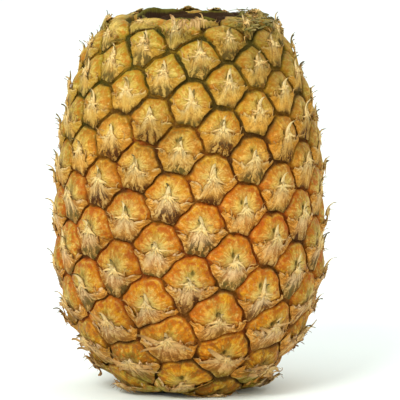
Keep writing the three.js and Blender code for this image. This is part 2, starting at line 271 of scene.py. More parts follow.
@dataclass
class Cell:
    """One cell of the lattice: an eye, or a blank at a pole."""

    number: int | None
    radius: float
    height: float
    centre: Array
    right: Array = field(init=False)
    up: Array = field(init=False)
    ring_ids: Array = field(init=False)
    ring: Array = field(init=False)
    span: float = 1.0

    ROUNDING = 1.1
    SHARPNESS = 4.0

    def __post_init__(self) -> None:
        """Sets the directions to the right and up along the skin."""
        right = np.array([-self.centre[1], self.centre[0], 0.0])
        size = np.linalg.norm(right)
        self.right = right / size if size > 1e-6 else np.array([1.0, 0.0, 0.0])
        self.up = np.cross(self.centre, self.right)

    def flatten(self, directions: Array) -> Array:
        """Puts unit vectors on the plane that touches the sphere at the cell's centre."""
        depth = directions @ self.centre
        return np.stack([directions @ self.right / depth, directions @ self.up / depth], -1)

    def unflatten(self, flat: Array) -> Array:
        """Turns places on that plane back into directions."""
        return self.centre + flat[..., :1] * self.right + flat[..., 1:] * self.up

    def reach(self, bearing: Array) -> Array:
        """Distance on that plane from the centre to the border, towards each bearing."""
        angle = np.arctan2(self.ring[:, 1], self.ring[:, 0])
        return np.interp(bearing, angle, np.linalg.norm(self.ring, axis=1), period=2 * np.pi)

    def on_disc(self, x: Array, y: Array) -> Array:
        """Maps places on a disc of radius 1 to the cell, border to border."""
        bearing = np.arctan2(y, x)
        return polar(np.hypot(x, y) * self.reach(bearing), bearing)

    def border_distance(self, flat: Array) -> Array:
        """Distance in millimetres to the border, with its corners rounded.

        Args:
            flat: Places on the cell's plane.

        Returns:
            The distances.
        """
        start = self.ring
        side = np.roll(start, -1, axis=0) - start
        away = flat[:, None, :] - start
        share = np.clip(np.sum(away * side, -1) / np.sum(side * side, -1), 0.0, 1.0)
        nearest = np.min(np.linalg.norm(away - share[..., None] * side, axis=-1), axis=-1)
        rounded = self.ROUNDING * float(np.mean(np.linalg.norm(start, axis=1)))
        disc = np.maximum(rounded - np.linalg.norm(flat, axis=-1), 0.0)
        gaps = np.stack([nearest, disc], -1) * self.span
        with np.errstate(divide="ignore"):
            return np.sum(gaps**-self.SHARPNESS, axis=-1) ** (-1 / self.SHARPNESS)


class Lattice:
    """All cells of the skin, with the points that neighbours share on their borders."""

    SIDE_STEP = 0.034
    MOST_STEPS = 12
    BOW = 0.045
    WAVER = 0.035

    def __init__(self, skin: Skin, rule: LatticeRule) -> None:
        """Places the eyes and works out their borders.

        Args:
            skin: The skin that carries the lattice.
            rule: The rule that places the eyes.
        """
        self.skin = skin
        self.cells = self._place(rule)
        self.shared: list[Array] = []
        self._borders()

    def _place(self, rule: LatticeRule) -> list[Cell]:
        """Sets one eye for each whole number of eyes passed, and a blank at each pole.

        Args:
            rule: The rule that places the eyes.

        Returns:
            The cells, with the blank ones last.
        """
        skin = self.skin
        origin = float(np.interp(skin.length_at_height(rule.facing_height), skin.length, skin.count))
        numbers = np.arange(-math.floor(origin), math.floor(skin.count[-1] - origin) + 1)
        length = np.interp(origin + numbers, skin.count, skin.length)
        drift = rule.low_drift * np.minimum(0, numbers - rule.low_rows_below)
        angle = np.radians(rule.facing_angle + rule.divergence * numbers + drift)
        centres = skin.directions(length, angle)
        radius = np.interp(length, skin.length, skin.radius)
        height = np.interp(length, skin.length, skin.height)
        rows = zip(numbers, radius, height, centres)
        cells = [Cell(int(n), float(r), float(h), c) for n, r, h, c in rows]
        cells.append(Cell(None, 0.0, 0.0, np.array([0.0, 0.0, -1.0])))
        cells.append(Cell(None, 0.0, float(skin.height[-1]), np.array([0.0, 0.0, 1.0])))
        return cells

    def _borders(self) -> None:
        """Finds where three cells meet, and samples each side once for both its cells."""
        centres = np.array([cell.centre for cell in self.cells])
        faces = self._hull(centres)
        corners = np.array([self._pole(centres[list(face)]) for face in faces])
        self.shared = list(corners)
        around: list[list[int]] = [[] for _ in self.cells]
        for index, face in enumerate(faces):
            for member in face:
                around[member].append(index)
        sides: dict[tuple[int, int], list[int]] = {}
        for cell, members in zip(self.cells, around):
            flat = cell.flatten(corners[members])
            order = np.argsort(np.arctan2(flat[:, 1], flat[:, 0]))
            ring = [members[i] for i in order]
            cell.span = self._span(cell)
            ids: list[int] = []
            for here, there in zip(ring, ring[1:] + ring[:1]):
                key = (min(here, there), max(here, there))
                if key not in sides:
                    pair = set(faces[here]) & set(faces[there])
                    sides[key] = self._sample_side(*key, centres[list(pair)])
                inner = sides[key] if here == key[0] else sides[key][::-1]
                ids += [here] + inner
            cell.ring_ids = np.array(ids)
            cell.ring = cell.flatten(np.array([self.shared[i] for i in ids]))

    def _hull(self, points: Array) -> list[tuple[int, int, int]]:
        """Triangles of the convex hull of points on the sphere.

        Args:
            points: The points, in rows.

        Returns:
            Three indices of points for each triangle.
        """
        mesh = bmesh.new()
        for point in points:
            mesh.verts.new(point)
        mesh.verts.index_update()
        bmesh.ops.convex_hull(mesh, input=list(mesh.verts))
        bmesh.ops.triangulate(mesh, faces=list(mesh.faces))
        faces = [tuple(vert.index for vert in face.verts) for face in mesh.faces]
        mesh.free()
        return faces

    def _pole(self, triangle: Array) -> Array:
        """The direction that is equally far from a triangle's three corners."""
        normal = np.cross(triangle[1] - triangle[0], triangle[2] - triangle[0])
        normal /= np.linalg.norm(normal)
        return normal if normal @ triangle[0] > 0 else -normal

    def _sample_side(self, first: int, last: int, pair: Array) -> list[int]:
        """Adds the points between two corners, bowed so that each eye is arched above.

        Args:
            first: The shared point where the side starts.
            last: The shared point where it ends.
            pair: The centres of the two cells that it parts.

        Returns:
            The places of the new points in the shared list.
        """
        a, b = self.shared[first], self.shared[last]
        size = float(np.linalg.norm(b - a))
        steps = int(np.clip(round(size / self.SIDE_STEP), 2, self.MOST_STEPS))
        below, above = sorted(pair, key=lambda centre: centre[2])
        step_up = (above - below) / np.linalg.norm(above - below)
        across = np.cross(a + b, b - a)
        across /= np.linalg.norm(across)
        upward = step_up[2] / math.sqrt(1 - min(0.99, ((a + b)[2] / 2) ** 2))
        bow = self.BOW * size * math.copysign(min(1.0, upward), float(step_up @ across))
        start = len(self.shared)
        for step in range(1, steps):
            share = step / steps
            waver = self.WAVER * math.sin(3 * math.pi * share + first) * math.sin(math.pi * share)
            aside = bow * math.sin(math.pi * share) + size * waver
            point = between(a, b, share) + across * aside
            self.shared.append(point / np.linalg.norm(point))
        return list(range(start, start + steps - 1))

    def _span(self, cell: Cell) -> float:
        """Millimetres on the skin for one unit on the plane at the cell's centre."""
        length = float(self.skin.lengths_of(cell.centre))
        latitude = float(np.interp(length, self.skin.length, self.skin.latitude))
        return float(np.interp(length, self.skin.length, self.skin.radius)) * math.cosh(latitude)


# ---------------------------------------------------------------- one eye


GOLDEN_SHARE = 0.618


@dataclass(frozen=True)
class EyeForm:
    """Sizes of an eye's pad, in millimetres unless they are shares of the eye."""

    groove_depth: float = 3.0
    groove_power: float = 1.7
    wall_above: float = 0.6
    wall_below: float = 0.9
    dome: float = 1.8
    dome_power: float = 2.8
    low_side_drop: float = 0.7
    lobe_height: float = 0.95
    lobe_size: float = 0.27
    lobe_stretch: float = 1.25
    lobe_across: float = 0.44
    lobe_along: float = 0.22
    brow_height: float = 0.35
    brow_across: float = 0.5
    brow_along: float = 0.22
    brow_place: float = 0.55
    pit_depth: float = 1.1
    pit_width: float = 0.085
    crease_depth: float = 0.5
    crease_width: float = 0.05
    wrinkle: float = 0.06
    side_notch: float = 1.5
    top_notch: float = 1.5
    scallop: float = 0.22
    upper_inset: float = 0.05
    crest_tilt: float = 3.2


@dataclass
class Lip:
    """The free edge of a bract, from its left end to its right, on the disc of its eye."""

    dips: Array
    ends: Array
    root: float
    root_width: float
    rag: float
    tear: tuple[float, float]
    phase: float

    TEETH = ((19, 1.0, 1.0), (31, 2.1, 0.8), (53, 3.7, 0.6))
    TOOTH = 0.03

    def line(self, u: Array) -> Array:
        """Height of the edge on the disc at u, from -1 at the left to 1 at the right.

        Args:
            u: Places across the bract.

        Returns:
            The heights.
        """
        side = np.abs(u)
        right = 0.5 + 0.5 * np.tanh(u / 0.15)
        dip = between(*self.dips, right)
        sweep = between(dip, between(*self.ends, right), smoothstep(side, 0.4, 1.0))
        rise = (self.root - dip) * bell(side, self.root_width, 1.25)
        teeth = waves(u, self.phase, *self.TEETH) * (1 - bell(side, 0.12))
        tear = self.tear[1] * bell(u - self.tear[0], 0.06)
        return sweep + rise + self.TOOTH * self.rag * teeth - tear


class Eye:
    """One eye: its cell, and how it differs from the others."""

    BRACT_HALF_WIDTH = 0.86
    LOW_BAND = (10, 55)
    HIGH_BAND = (115, 160)
    CREST_BAND = (170.0, 178.5)
    RAYS = ((11, 1.0, 1.0), (19, 2.3, 0.6))
    SCALLOPS = ((6, 1.0, 1.0), (10, 2.9, 0.7))

    def __init__(self, cell: Cell, form: EyeForm, draw: Draw) -> None:
        """Works out where on the fruit the eye is, and draws its own values.

        Args:
            cell: The cell that the eye fills.
            form: The sizes that all eyes share.
            draw: The random numbers.
        """
        self.cell = cell
        self.form = form
        self.low = 1 - float(smoothstep(cell.height, *self.LOW_BAND))
        self.high = float(smoothstep(cell.height, *self.HIGH_BAND))
        self.crest = crest = float(smoothstep(cell.height, *self.CREST_BAND))
        self.facing = facing = 0.5 - 0.5 * cell.centre[1] / math.hypot(cell.centre[0], cell.centre[1])
        self.leafy = crest * float(smoothstep(cell.radius, 33.0, 26.0)) * (1 - 0.8 * facing)
        self.upright = (cell.number * GOLDEN_SHARE) % 1.0
        if cell.height > 150.0:
            self.upright *= float(smoothstep(cell.radius, 26.0, 32.0))
        self.stand = 1.0 - crest * (1.0 - facing) ** 0.7
        self.stand *= 1.0 - 0.6 * crest * (self.upright < 0.5)
        self.wrap = self.low * (1 - 0.9 * float(smoothstep(self.upright, 0.85, 0.97)))
        self.phase = draw.uniform(0, TURN)
        self.lip = self._draw_lip(draw)
        self.tone = draw.uniform(0, 1)
        self.level = draw.uniform(-0.35, 0.3) - 1.2 * crest * (1 - facing)
        self.pit = (draw.uniform(-0.14, 0.14), draw.uniform(0.16, 0.36))
        self.crease = (draw.uniform(-0.2, 0.2), draw.uniform(0.2, 1.0))
        self.lobes = draw.uniform(0.35, 1.25, 2)
        self.notches = draw.uniform(0.2, 1.0, 3)
        self.lift = 0.6 + 2.6 * draw.uniform(0, 1) ** 2 + 0.4 * self.low + 1.3 * self.wrap
        self.lift += 3.4 * crest * facing**2 * self.upright**2
        self.foot = draw.uniform(0, 1, 2)

    def _draw_lip(self, draw: Draw) -> Lip:
        """Draws the free edge of the eye's bract.

        Args:
            draw: The random numbers.

        Returns:
            The edge.
        """
        wrap, leafy, flat = self.wrap, self.leafy, self.crest * self.facing
        root_low = (1 - 0.5 * self.low) * (1 - self.crest)
        return Lip(
            dips=draw.uniform(-0.43, -0.18, 2) + 0.5 * wrap - 0.3 * flat + 0.1 * leafy,
            ends=draw.uniform(-0.26, 0.02, 2) + 0.12 * wrap - 0.25 * flat,
            root=draw.uniform(0.12, 0.32) * root_low + 0.35 * wrap - 0.25 * flat + 0.1 * leafy,
            root_width=draw.uniform(0.19, 0.32) + 0.2 * leafy,
            rag=draw.uniform(0.5, 1.8) + self.low + 1.4 * wrap + 2.4 * flat * self.upright,
            tear=(draw.uniform(-0.8, 0.8), draw.uniform(-0.15, 0.3)),
            phase=self.phase,
        )

    def surface(self, flat: Array, x: Array, y: Array) -> tuple[Array, Array]:
        """Height of the pad over the outline.

        Args:
            flat: Places on the cell's plane.
            x: The same places on the disc of radius 1, to the right.
            y: The same, up.

        Returns:
            Heights in millimetres, and distances to the border in millimetres.
        """
        form = self.form
        bearing = np.arctan2(y, x)
        gap = np.maximum(self.cell.border_distance(flat) - self.inset(bearing), 0.0)
        above = smoothstep(y, -0.6, 0.2)
        width = between(form.wall_below, form.wall_above, above) * (1 - 0.25 * self.high)
        groove = bell(gap, width, form.groove_power)
        out = np.hypot(x, y)
        tilt = form.crest_tilt * self.crest * self.facing
        pad = self.level - form.dome * out**form.dome_power + tilt * y
        pad = pad - form.low_side_drop * (1 - smoothstep(y, -0.9, 0.1))
        for side, lobe in zip((-1, 1), self.lobes):
            across = (x - side * form.lobe_across) / form.lobe_size
            along = (y - form.lobe_along) / (form.lobe_stretch * form.lobe_size)
            pad = pad + form.lobe_height * lobe * np.exp(-(across**2) - along**2)
        across, along = x / form.brow_across, (y - form.brow_place) / form.brow_along
        pad = pad + form.brow_height * np.exp(-(across**2) - along**2)
        path = self.crease[0] * y + 0.05 * np.sin(7 * y + self.phase)
        crease = bell(x - path, form.crease_width) * smoothstep(y, 0.05, 0.25)
        pad = pad - form.crease_depth * self.crease[1] * crease * (1 - smoothstep(y, 0.5, 0.9))
        rays = form.wrinkle * waves(bearing, self.phase, *self.RAYS)
        pad = pad + rays * smoothstep(out, 0.1, 0.4) * (1 - smoothstep(out, 0.8, 0.97))
        pad = pad - form.pit_depth * self.pit_shade(x, y)
        return pad * (1 - groove) - form.groove_depth * groove, gap

    def inset(self, bearing: Array) -> Array:
        """How far the pad's lobed outline stands back from the cell's border, in millimetres.

        Args:
            bearing: Angles round the eye's centre, in radians.

        Returns:
            The distances.
        """
        form = self.form
        total = np.zeros_like(bearing)
        for centre, width, depth in (
            (-0.1, 0.15, form.side_notch * self.notches[0]),
            (math.pi + 0.1, 0.15, form.side_notch * self.notches[1]),
            (math.pi / 2 - 0.5 * self.crease[0], 0.18, form.top_notch * self.notches[2]),
        ):
            away = np.arctan2(np.sin(bearing - centre), np.cos(bearing - centre))
            total = total + depth * bell(away, width)
        scallops = 0.8 + 0.5 * waves(bearing, self.phase, *self.SCALLOPS)
        return total + form.scallop * scallops + form.upper_inset * self.high

    def lip_shade(self, x: Array, y: Array) -> Array:
        """How much painted shade the bract lays on the pad: all of it under the bract, fading with distance
        above its edge.
        """
        over = y - self.lip.line(np.clip(x / self.BRACT_HALF_WIDTH, -1, 1))
        inside = 1 - smoothstep(np.abs(x), 0.75, 1.0)
        return np.where(over < 0, 1.0, bell(over, 0.07)) * inside

    def pit_shade(self, x: Array, y: Array) -> Array:
        """How close a place is to the small pit beside the spine, which sets the painted shade in it."""
        away = (x - self.pit[0]) ** 2 + ((y - self.pit[1]) * 0.7) ** 2
        depth = 0.25 + 0.75 * float(smoothstep(self.upright, 0.3, 0.6))
        return depth * np.exp(-away / self.form.pit_width**2)

    def height_at(self, x: Array, y: Array) -> tuple[Array, Array]:
        """Direction and height of places on the eye's disc."""
        flat = self.cell.on_disc(x, y)
        lift, _ = self.surface(flat, x, y)
        return self.cell.unflatten(flat), lift


@dataclass
class SurfaceBuilder:
    """Collects vertices, faces and the maps of a mesh that is built from patches."""

    vertices: list[Array] = field(default_factory=list)
    faces: list[Array] = field(default_factory=list)
    maps: dict[str, list[Array]] = field(default_factory=dict)
    count: int = 0

    MAPS = ("EyePlace", "EyeMarks", "EyeShade")

    def add_vertices(self, points: Array) -> int:
        """Adds points and gives the index of the first.

        Args:
            points: The points, in millimetres.

        Returns:
            The index.
        """
        first = self.count
        self.vertices.append(points)
        self.count += len(points)
        return first

    def add_triangles(self, ids: Array, local: Array, *maps: Array) -> None:
        """Adds triangles with their maps.

        Args:
            ids: The indices of the vertices that the triangles share.
            local: Rows of three places in ids, counterclockwise from outside.
            *maps: For each map in turn, two values for each of ids.
        """
        self.faces.append(ids[local])
        for name, rows in zip(self.MAPS, maps):
            self.maps.setdefault(name, []).append(rows[local].reshape(-1, 2))

    def build(self, name: str) -> Object:
        """Makes the object, in metres, with its maps and smooth faces.

        Args:
            name: Its name.

        Returns:
            The object.
        """
        points = np.vstack(self.vertices) * MM
        triangles = np.vstack(self.faces).astype(np.int32)
        mesh = bpy.data.meshes.new(name)
        mesh.vertices.add(len(points))
        mesh.vertices.foreach_set("co", points.astype(np.float32).ravel())
        mesh.loops.add(triangles.size)
        mesh.loops.foreach_set("vertex_index", triangles.ravel())
        mesh.polygons.add(len(triangles))
        mesh.polygons.foreach_set("loop_start", np.arange(0, triangles.size, 3, dtype=np.int32))
        mesh.update(calc_edges=True)
        for map_name, rows in self.maps.items():
            layer = mesh.uv_layers.new(name=map_name)
            layer.data.foreach_set("uv", np.vstack(rows).astype(np.float32).ravel())
        mesh.shade_smooth()
        mesh.validate()
        return placed(name, mesh)


# ---------------------------------------------------------------- building node trees


@dataclass(frozen=True, eq=False)
class Value:
    """What a node puts out, which sums are written with."""

    tree: NodeTree
    socket: bpy.types.NodeSocket

    def __add__(self, other: Any) -> Value:
        """The sum."""
        return self.tree.math("ADD", self, other)

    def __sub__(self, other: Any) -> Value:
        """The difference."""
        return self.tree.math("SUBTRACT", self, other)

    def __rsub__(self, other: float) -> Value:
        """What is left of a number."""
        return self.tree.math("SUBTRACT", other, self)

    def __mul__(self, other: Any) -> Value:
        """The product."""
        return self.tree.math("MULTIPLY", self, other)

    def __truediv__(self, other: Any) -> Value:
        """The ratio."""
        return self.tree.math("DIVIDE", self, other)

    def __pow__(self, other: Any) -> Value:
        """The power."""
        return self.tree.math("POWER", self, other)

    def __abs__(self) -> Value:
        """The size without its sign."""
        return self.tree.math("ABSOLUTE", self)

    def at_least(self, other: Any) -> Value:
        """The larger of two."""
        return self.tree.math("MAXIMUM", self, other)

    def at_most(self, other: Any) -> Value:
        """The smaller of two."""
        return self.tree.math("MINIMUM", self, other)

    def ramp(self, low: float, high: float, first: Any = 0.0, last: Any = 1.0) -> Value:
        """Maps low and high to first and last, smoothly and clamped."""
        inputs = dict(enumerate((self, low, high, first, last)))
        return self.tree.node("ShaderNodeMapRange", inputs, interpolation_type="SMOOTHSTEP", clamp=True)


class NodeTree:
    """Adds nodes and links to one tree."""

    def __init__(self, tree: Tree) -> None:
        """Takes the tree that the nodes go in."""
        self.tree = tree

    def add(self, kind: str, inputs: dict[Any, Any] | None = None, **settings: Any) -> bpy.types.Node:
        """Adds one node.

        Args:
            kind: The node's type.
            inputs: Input name or number, to what feeds it or its value.
            **settings: Properties of the node itself.

        Returns:
            The node.
        """
        node = self.tree.nodes.new(kind)
        for key, value in settings.items():
            setattr(node, key, value)
        for key, value in (inputs or {}).items():
            self.feed(node.inputs[key], value)
        return node

    def node(self, kind: str, inputs: Any = None, output: Any = 0, **settings: Any) -> Value:
        """Adds one node and gives one of its outputs."""
        return Value(self, self.add(kind, inputs, **settings).outputs[output])

    def feed(self, socket: bpy.types.NodeSocket, value: Any) -> None:
        """Links a value to an input, or sets it there.

        Args:
            socket: The input.
            value: A value in the tree, or a plain one.
        """
        if isinstance(value, Value):
            self.tree.links.new(value.socket, socket)
        else:
            socket.default_value = value

    def math(self, operation: str, a: Any, b: Any = 0.0) -> Value:
        """One sum on numbers."""
        return self.node("ShaderNodeMath", {0: a, 1: b}, operation=operation)

    def hypot(self, x: Value, y: Value) -> Value:
        """The length of the long side of a right angle."""
        return self.math("SQRT", x * x + y * y)

    def vector(self, operation: str, a: Any, b: Any) -> Value:
        """One sum on vectors."""
        return self.node("ShaderNodeVectorMath", {0: a, 1: b}, operation=operation)

    def scaled(self, vector: Any, scale: Any) -> Value:
        """A vector times a number."""
        return self.node("ShaderNodeVectorMath", {0: vector, "Scale": scale}, operation="SCALE")

    def combine(self, x: Any = 0.0, y: Any = 0.0, z: Any = 0.0) -> Value:
        """A vector from three numbers."""
        return self.node("ShaderNodeCombineXYZ", {"X": x, "Y": y, "Z": z})

    def separate(self, vector: Any) -> tuple[Value, ...]:
        """The three numbers of a vector."""
        node = self.add("ShaderNodeSeparateXYZ", {0: vector})
        return tuple(Value(self, socket) for socket in node.outputs)

    def noise(self, vector: Any, scale: Any, detail: float = 2.0, roughness: float = 0.5) -> Value:
        """A noise value about 0.5."""
        inputs = {"Vector": vector, "Scale": scale, "Detail": detail, "Roughness": roughness}
        return self.node("ShaderNodeTexNoise", inputs)

    def mix(self, share: Any, a: Any, b: Any, blend: str = "MIX") -> Value:
        """Mixes two colours.

        Args:
            share: How much of the second colour.
            a: The first colour.
            b: The second colour.
            blend: How they are mixed.

        Returns:
            The mixed colour.
        """
        node = self.add("ShaderNodeMix", data_type="RGBA", blend_type=blend)
        sockets = {socket.identifier: socket for socket in [*node.inputs, *node.outputs]}
        for key, value in (("Factor_Float", share), ("A_Color", a), ("B_Color", b)):
            self.feed(sockets[key], value)
        return Value(self, sockets["Result_Color"])


class Socket(Enum):
    """The kinds of sockets that a group has."""

    FLOAT = "NodeSocketFloat"
    INT = "NodeSocketInt"
    VECTOR = "NodeSocketVector"
    COLOUR = "NodeSocketColor"
    GEOMETRY = "NodeSocketGeometry"
    MATERIAL = "NodeSocketMaterial"


class GroupTree(NodeTree):
    """A node group with named sockets."""

    def __init__(self, name: str, kind: str, inputs: dict[str, Any], outputs: dict[str, Socket]) -> None:
        """Makes the group.

        Args:
            name: The group's name.
            kind: The kind of tree.
            inputs: Input name to its kind, or to the number that it is by default.
            outputs: Output name to its kind.
        """
        super().__init__(bpy.data.node_groups.new(name, kind))
        for way, sockets in (("INPUT", inputs), ("OUTPUT", outputs)):
            for key, value in sockets.items():
                self._socket(key, way, value)
        self.start = self.tree.nodes.new("NodeGroupInput")
        self.end = self.tree.nodes.new("NodeGroupOutput")

    def _socket(self, name: str, way: str, value: Any) -> None:
        """Adds a named socket, with its default if it is a number.

        Args:
            name: The socket's name.
            way: INPUT or OUTPUT.
            value: Its kind, or its default number.
        """
        number = not isinstance(value, Socket)
        kind = value
        if number:
            kind = Socket.INT if isinstance(value, int) else Socket.FLOAT
        made = self.tree.interface.new_socket(name=name, in_out=way, socket_type=kind.value)
        if number:
            made.default_value = value

    def __getitem__(self, name: str) -> Value:
        """The value that comes in under a name."""
        return Value(self, self.start.outputs[name])

    def done(self, **outputs: Any) -> Tree:
        """Feeds the outputs and gives the tree."""
        for key, value in outputs.items():
            self.feed(self.end.inputs[key], value)
        return self.tree


# ---------------------------------------------------------------- shared shader groups


@dataclass(frozen=True)
class Patch:
    """A soft ball in space over the rind and bracts. The darker ones are painted shade; the warmer ones are
    where the rind ripened differently.
    """

    place: tuple[float, float, float]
    radius: float
    strength: float


# Darker patches of painted shade.
PAINTED_SHADE_PATCHES = (
    Patch((-0.034, -0.054, 0.074), 0.030, 0.36),
    Patch((-0.028, -0.051, 0.042), 0.024, 0.40),
    Patch((-0.034, -0.053, 0.104), 0.026, 0.24),
    Patch((-0.014, -0.057, 0.128), 0.024, 0.42),
    Patch((0.058, -0.026, 0.128), 0.020, 0.34),
    Patch((-0.050, -0.038, 0.058), 0.018, 0.26),
    Patch((0.002, -0.064, 0.056), 0.020, 0.24),
    Patch((0.036, -0.034, 0.170), 0.036, 0.44),
)
# Warmer, more orange patches, where the rind ripened differently.
GLOWING_PATCHES = (
    Patch((0.029, -0.054, 0.090), 0.036, 0.40),
    Patch((0.036, -0.046, 0.126), 0.034, 0.34),
    Patch((0.006, -0.054, 0.026), 0.040, 0.55),
    Patch((-0.044, -0.040, 0.120), 0.028, 0.34),
)


class SharedGroups:
    """The effects that more than one material uses, each built once."""

    def __init__(self) -> None:
        """Builds the groups."""
        self.mottle = self._mottle()
        self.streaks = self._streaks()
        self.ripeness = self._ripeness()

    def _mottle(self) -> Tree:
        """Soft blotches and fine specks, as two values.

        Returns:
            The group.
        """
        inputs = {"Vector": Socket.VECTOR, "Blotch Scale": 90.0, "Speck Scale": 900.0}
        outputs = {"Blotch": Socket.FLOAT, "Speck": Socket.FLOAT}
        group = GroupTree("mottle", "ShaderNodeTree", inputs, outputs)
        blotch = group.noise(group["Vector"], group["Blotch Scale"], 4.0, 0.6)
        speck = group.noise(group["Vector"], group["Speck Scale"], 3.0, 0.7)
        return group.done(Blotch=blotch.ramp(0.32, 0.68), Speck=speck.ramp(0.38, 0.62))

    def _streaks(self) -> Tree:
        """Fine lines that run along a piece, for dry fibres.

        Returns:
            The group.
        """
        inputs = {"Across": 0.0, "Along": 0.0, "Seed": 0.0, "Density": 16.0}
        group = GroupTree("fibre_streaks", "ShaderNodeTree", inputs, {"Streak": Socket.FLOAT})
        vector = group.combine(group["Across"] * group["Density"], group["Along"], group["Seed"] * 37.0)
        return group.done(Streak=group.noise(vector, 1.0, 3.0, 0.65).ramp(0.34, 0.66))

    def _ripeness(self) -> Tree:
        """How the colours of the rind change with height: green above, golden below.

        Returns:
            The group.
        """
        outputs = dict.fromkeys(("Pad", "Groove"), Socket.COLOUR)
        outputs.update(dict.fromkeys(("Green", "Painted Shade", "Glow"), Socket.FLOAT))
        group = GroupTree("ripeness", "ShaderNodeTree", {"Vector": Socket.VECTOR}, outputs)
        vector = group["Vector"]
        across, _, height = group.separate(vector)
        foot = (height + across * 0.35).ramp(0.03, 0.0)
        height += across * -0.25
        height += across * across * 4.0
        height += (group.noise(vector, 24.0, 2.0) - 0.5) * 0.09
        upper = height.ramp(0.118, 0.182)
        lower = height.ramp(0.06, 0.004)
        cloud = group.noise(vector, 60.0, 3.0).ramp(0.4, 0.62)
        pad = group.mix(upper, srgb("C67A0C"), srgb("CA9620"))
        pad = group.mix(lower, pad, srgb("C08404"))
        pad = group.mix(height.ramp(0.156, 0.182, 0.0, 0.6), pad, srgb("90981E"))
        groove = group.mix(cloud, srgb("A84C10"), srgb("925A10"))
        groove = group.mix(upper, groove, group.mix(cloud, srgb("74560E"), srgb("444C10")))
        groove = group.mix(lower, groove, srgb("7E4616"))
        marks = {"Green": upper.at_least(foot * 0.8), "Painted Shade": 0.0, "Glow": 0.0}
        # Painted shade in the darker patches, and a warmer colour in the others.
        for name, patches in (("Painted Shade", PAINTED_SHADE_PATCHES), ("Glow", GLOWING_PATCHES)):
            for patch in patches:
                inputs = {0: vector, 1: patch.place}
                away = group.node("ShaderNodeVectorMath", inputs, output="Value", operation="DISTANCE")
                near = away.ramp(patch.radius, 0.0, 0.0, patch.strength)
                marks[name] = near.at_least(marks[name])
        return group.done(Pad=pad, Groove=groove, **marks)


class Finish(NodeTree):
    """A new material with a Principled BSDF, whose colour is painted on coat by coat."""

    def __init__(self, name: str, groups: SharedGroups, roughness: float) -> None:
        """Makes the material.

        Args:
            name: The material's name.
            groups: The shared effects.
            roughness: The plain roughness of the surface.
        """
        self.material = bpy.data.materials.new(name)
        self.material.use_nodes = True
        super().__init__(self.material.node_tree)
        self.groups = groups
        self.shader = self.tree.nodes["Principled BSDF"]
        self.shader.inputs["Roughness"].default_value = roughness
        self.place = self.node("ShaderNodeTexCoord", output="Object")
        self.x, self.y, self.z = self.separate(self.place)
        self.coat: Any = None

    def uv(self, name: str) -> tuple[Value, ...]:
        """The three numbers of a UV map."""
        return self.separate(self.node("ShaderNodeUVMap", uv_map=name))

    def attribute(self, name: str) -> Value:
        """A number that the mesh carries."""
        return self.node("ShaderNodeAttribute", output="Fac", attribute_name=name)

    def group(self, tree: Tree, inputs: dict[str, Any]) -> dict[str, Value]:
        """Adds one of the shared groups, and gives its outputs by name."""
        node = self.add("ShaderNodeGroup", inputs, node_tree=tree)
        return {socket.name: Value(self, socket) for socket in node.outputs}

    def mottle(self, blotches: float, specks: float) -> tuple[Value, Value]:
        """Soft blotches and fine specks, at the two scales."""
        inputs = {"Vector": self.place, "Blotch Scale": blotches, "Speck Scale": specks}
        made = self.group(self.groups.mottle, inputs)
        return made["Blotch"], made["Speck"]

    def streaks(self, across: Value, along: Value, seed: Value, density: float) -> Value:
        """Fine lines along a piece."""
        inputs = {"Across": across, "Along": along, "Seed": seed, "Density": density}
        return self.group(self.groups.streaks, inputs)["Streak"]

    def paint(self, share: Any, colour: Any, blend: str = "MIX") -> None:
        """Lays a colour over the coats so far."""
        self.coat = self.mix(share, self.coat, colour, blend)

    def done(
        self, rough: Value, relief: Value, depth: float, strength: float, specular: float = 0.5
    ) -> Material:
        """Feeds the shader.

        Args:
            rough: The roughness over the surface.
            relief: The height of its fine relief.
            depth: How far that relief reaches, in metres.
            strength: How strongly it shows.
            specular: The level of the plain reflection.

        Returns:
            The material.
        """
        inputs = {"Height": relief, "Distance": depth, "Strength": strength}
        fed = {"Base Color": self.coat, "Roughness": rough, "Normal": self.node("ShaderNodeBump", inputs),
               "Specular IOR Level": specular}
        for key, value in fed.items():
            self.feed(self.shader.inputs[key], value)
        return self.material


# ---------------------------------------------------------------- finishes


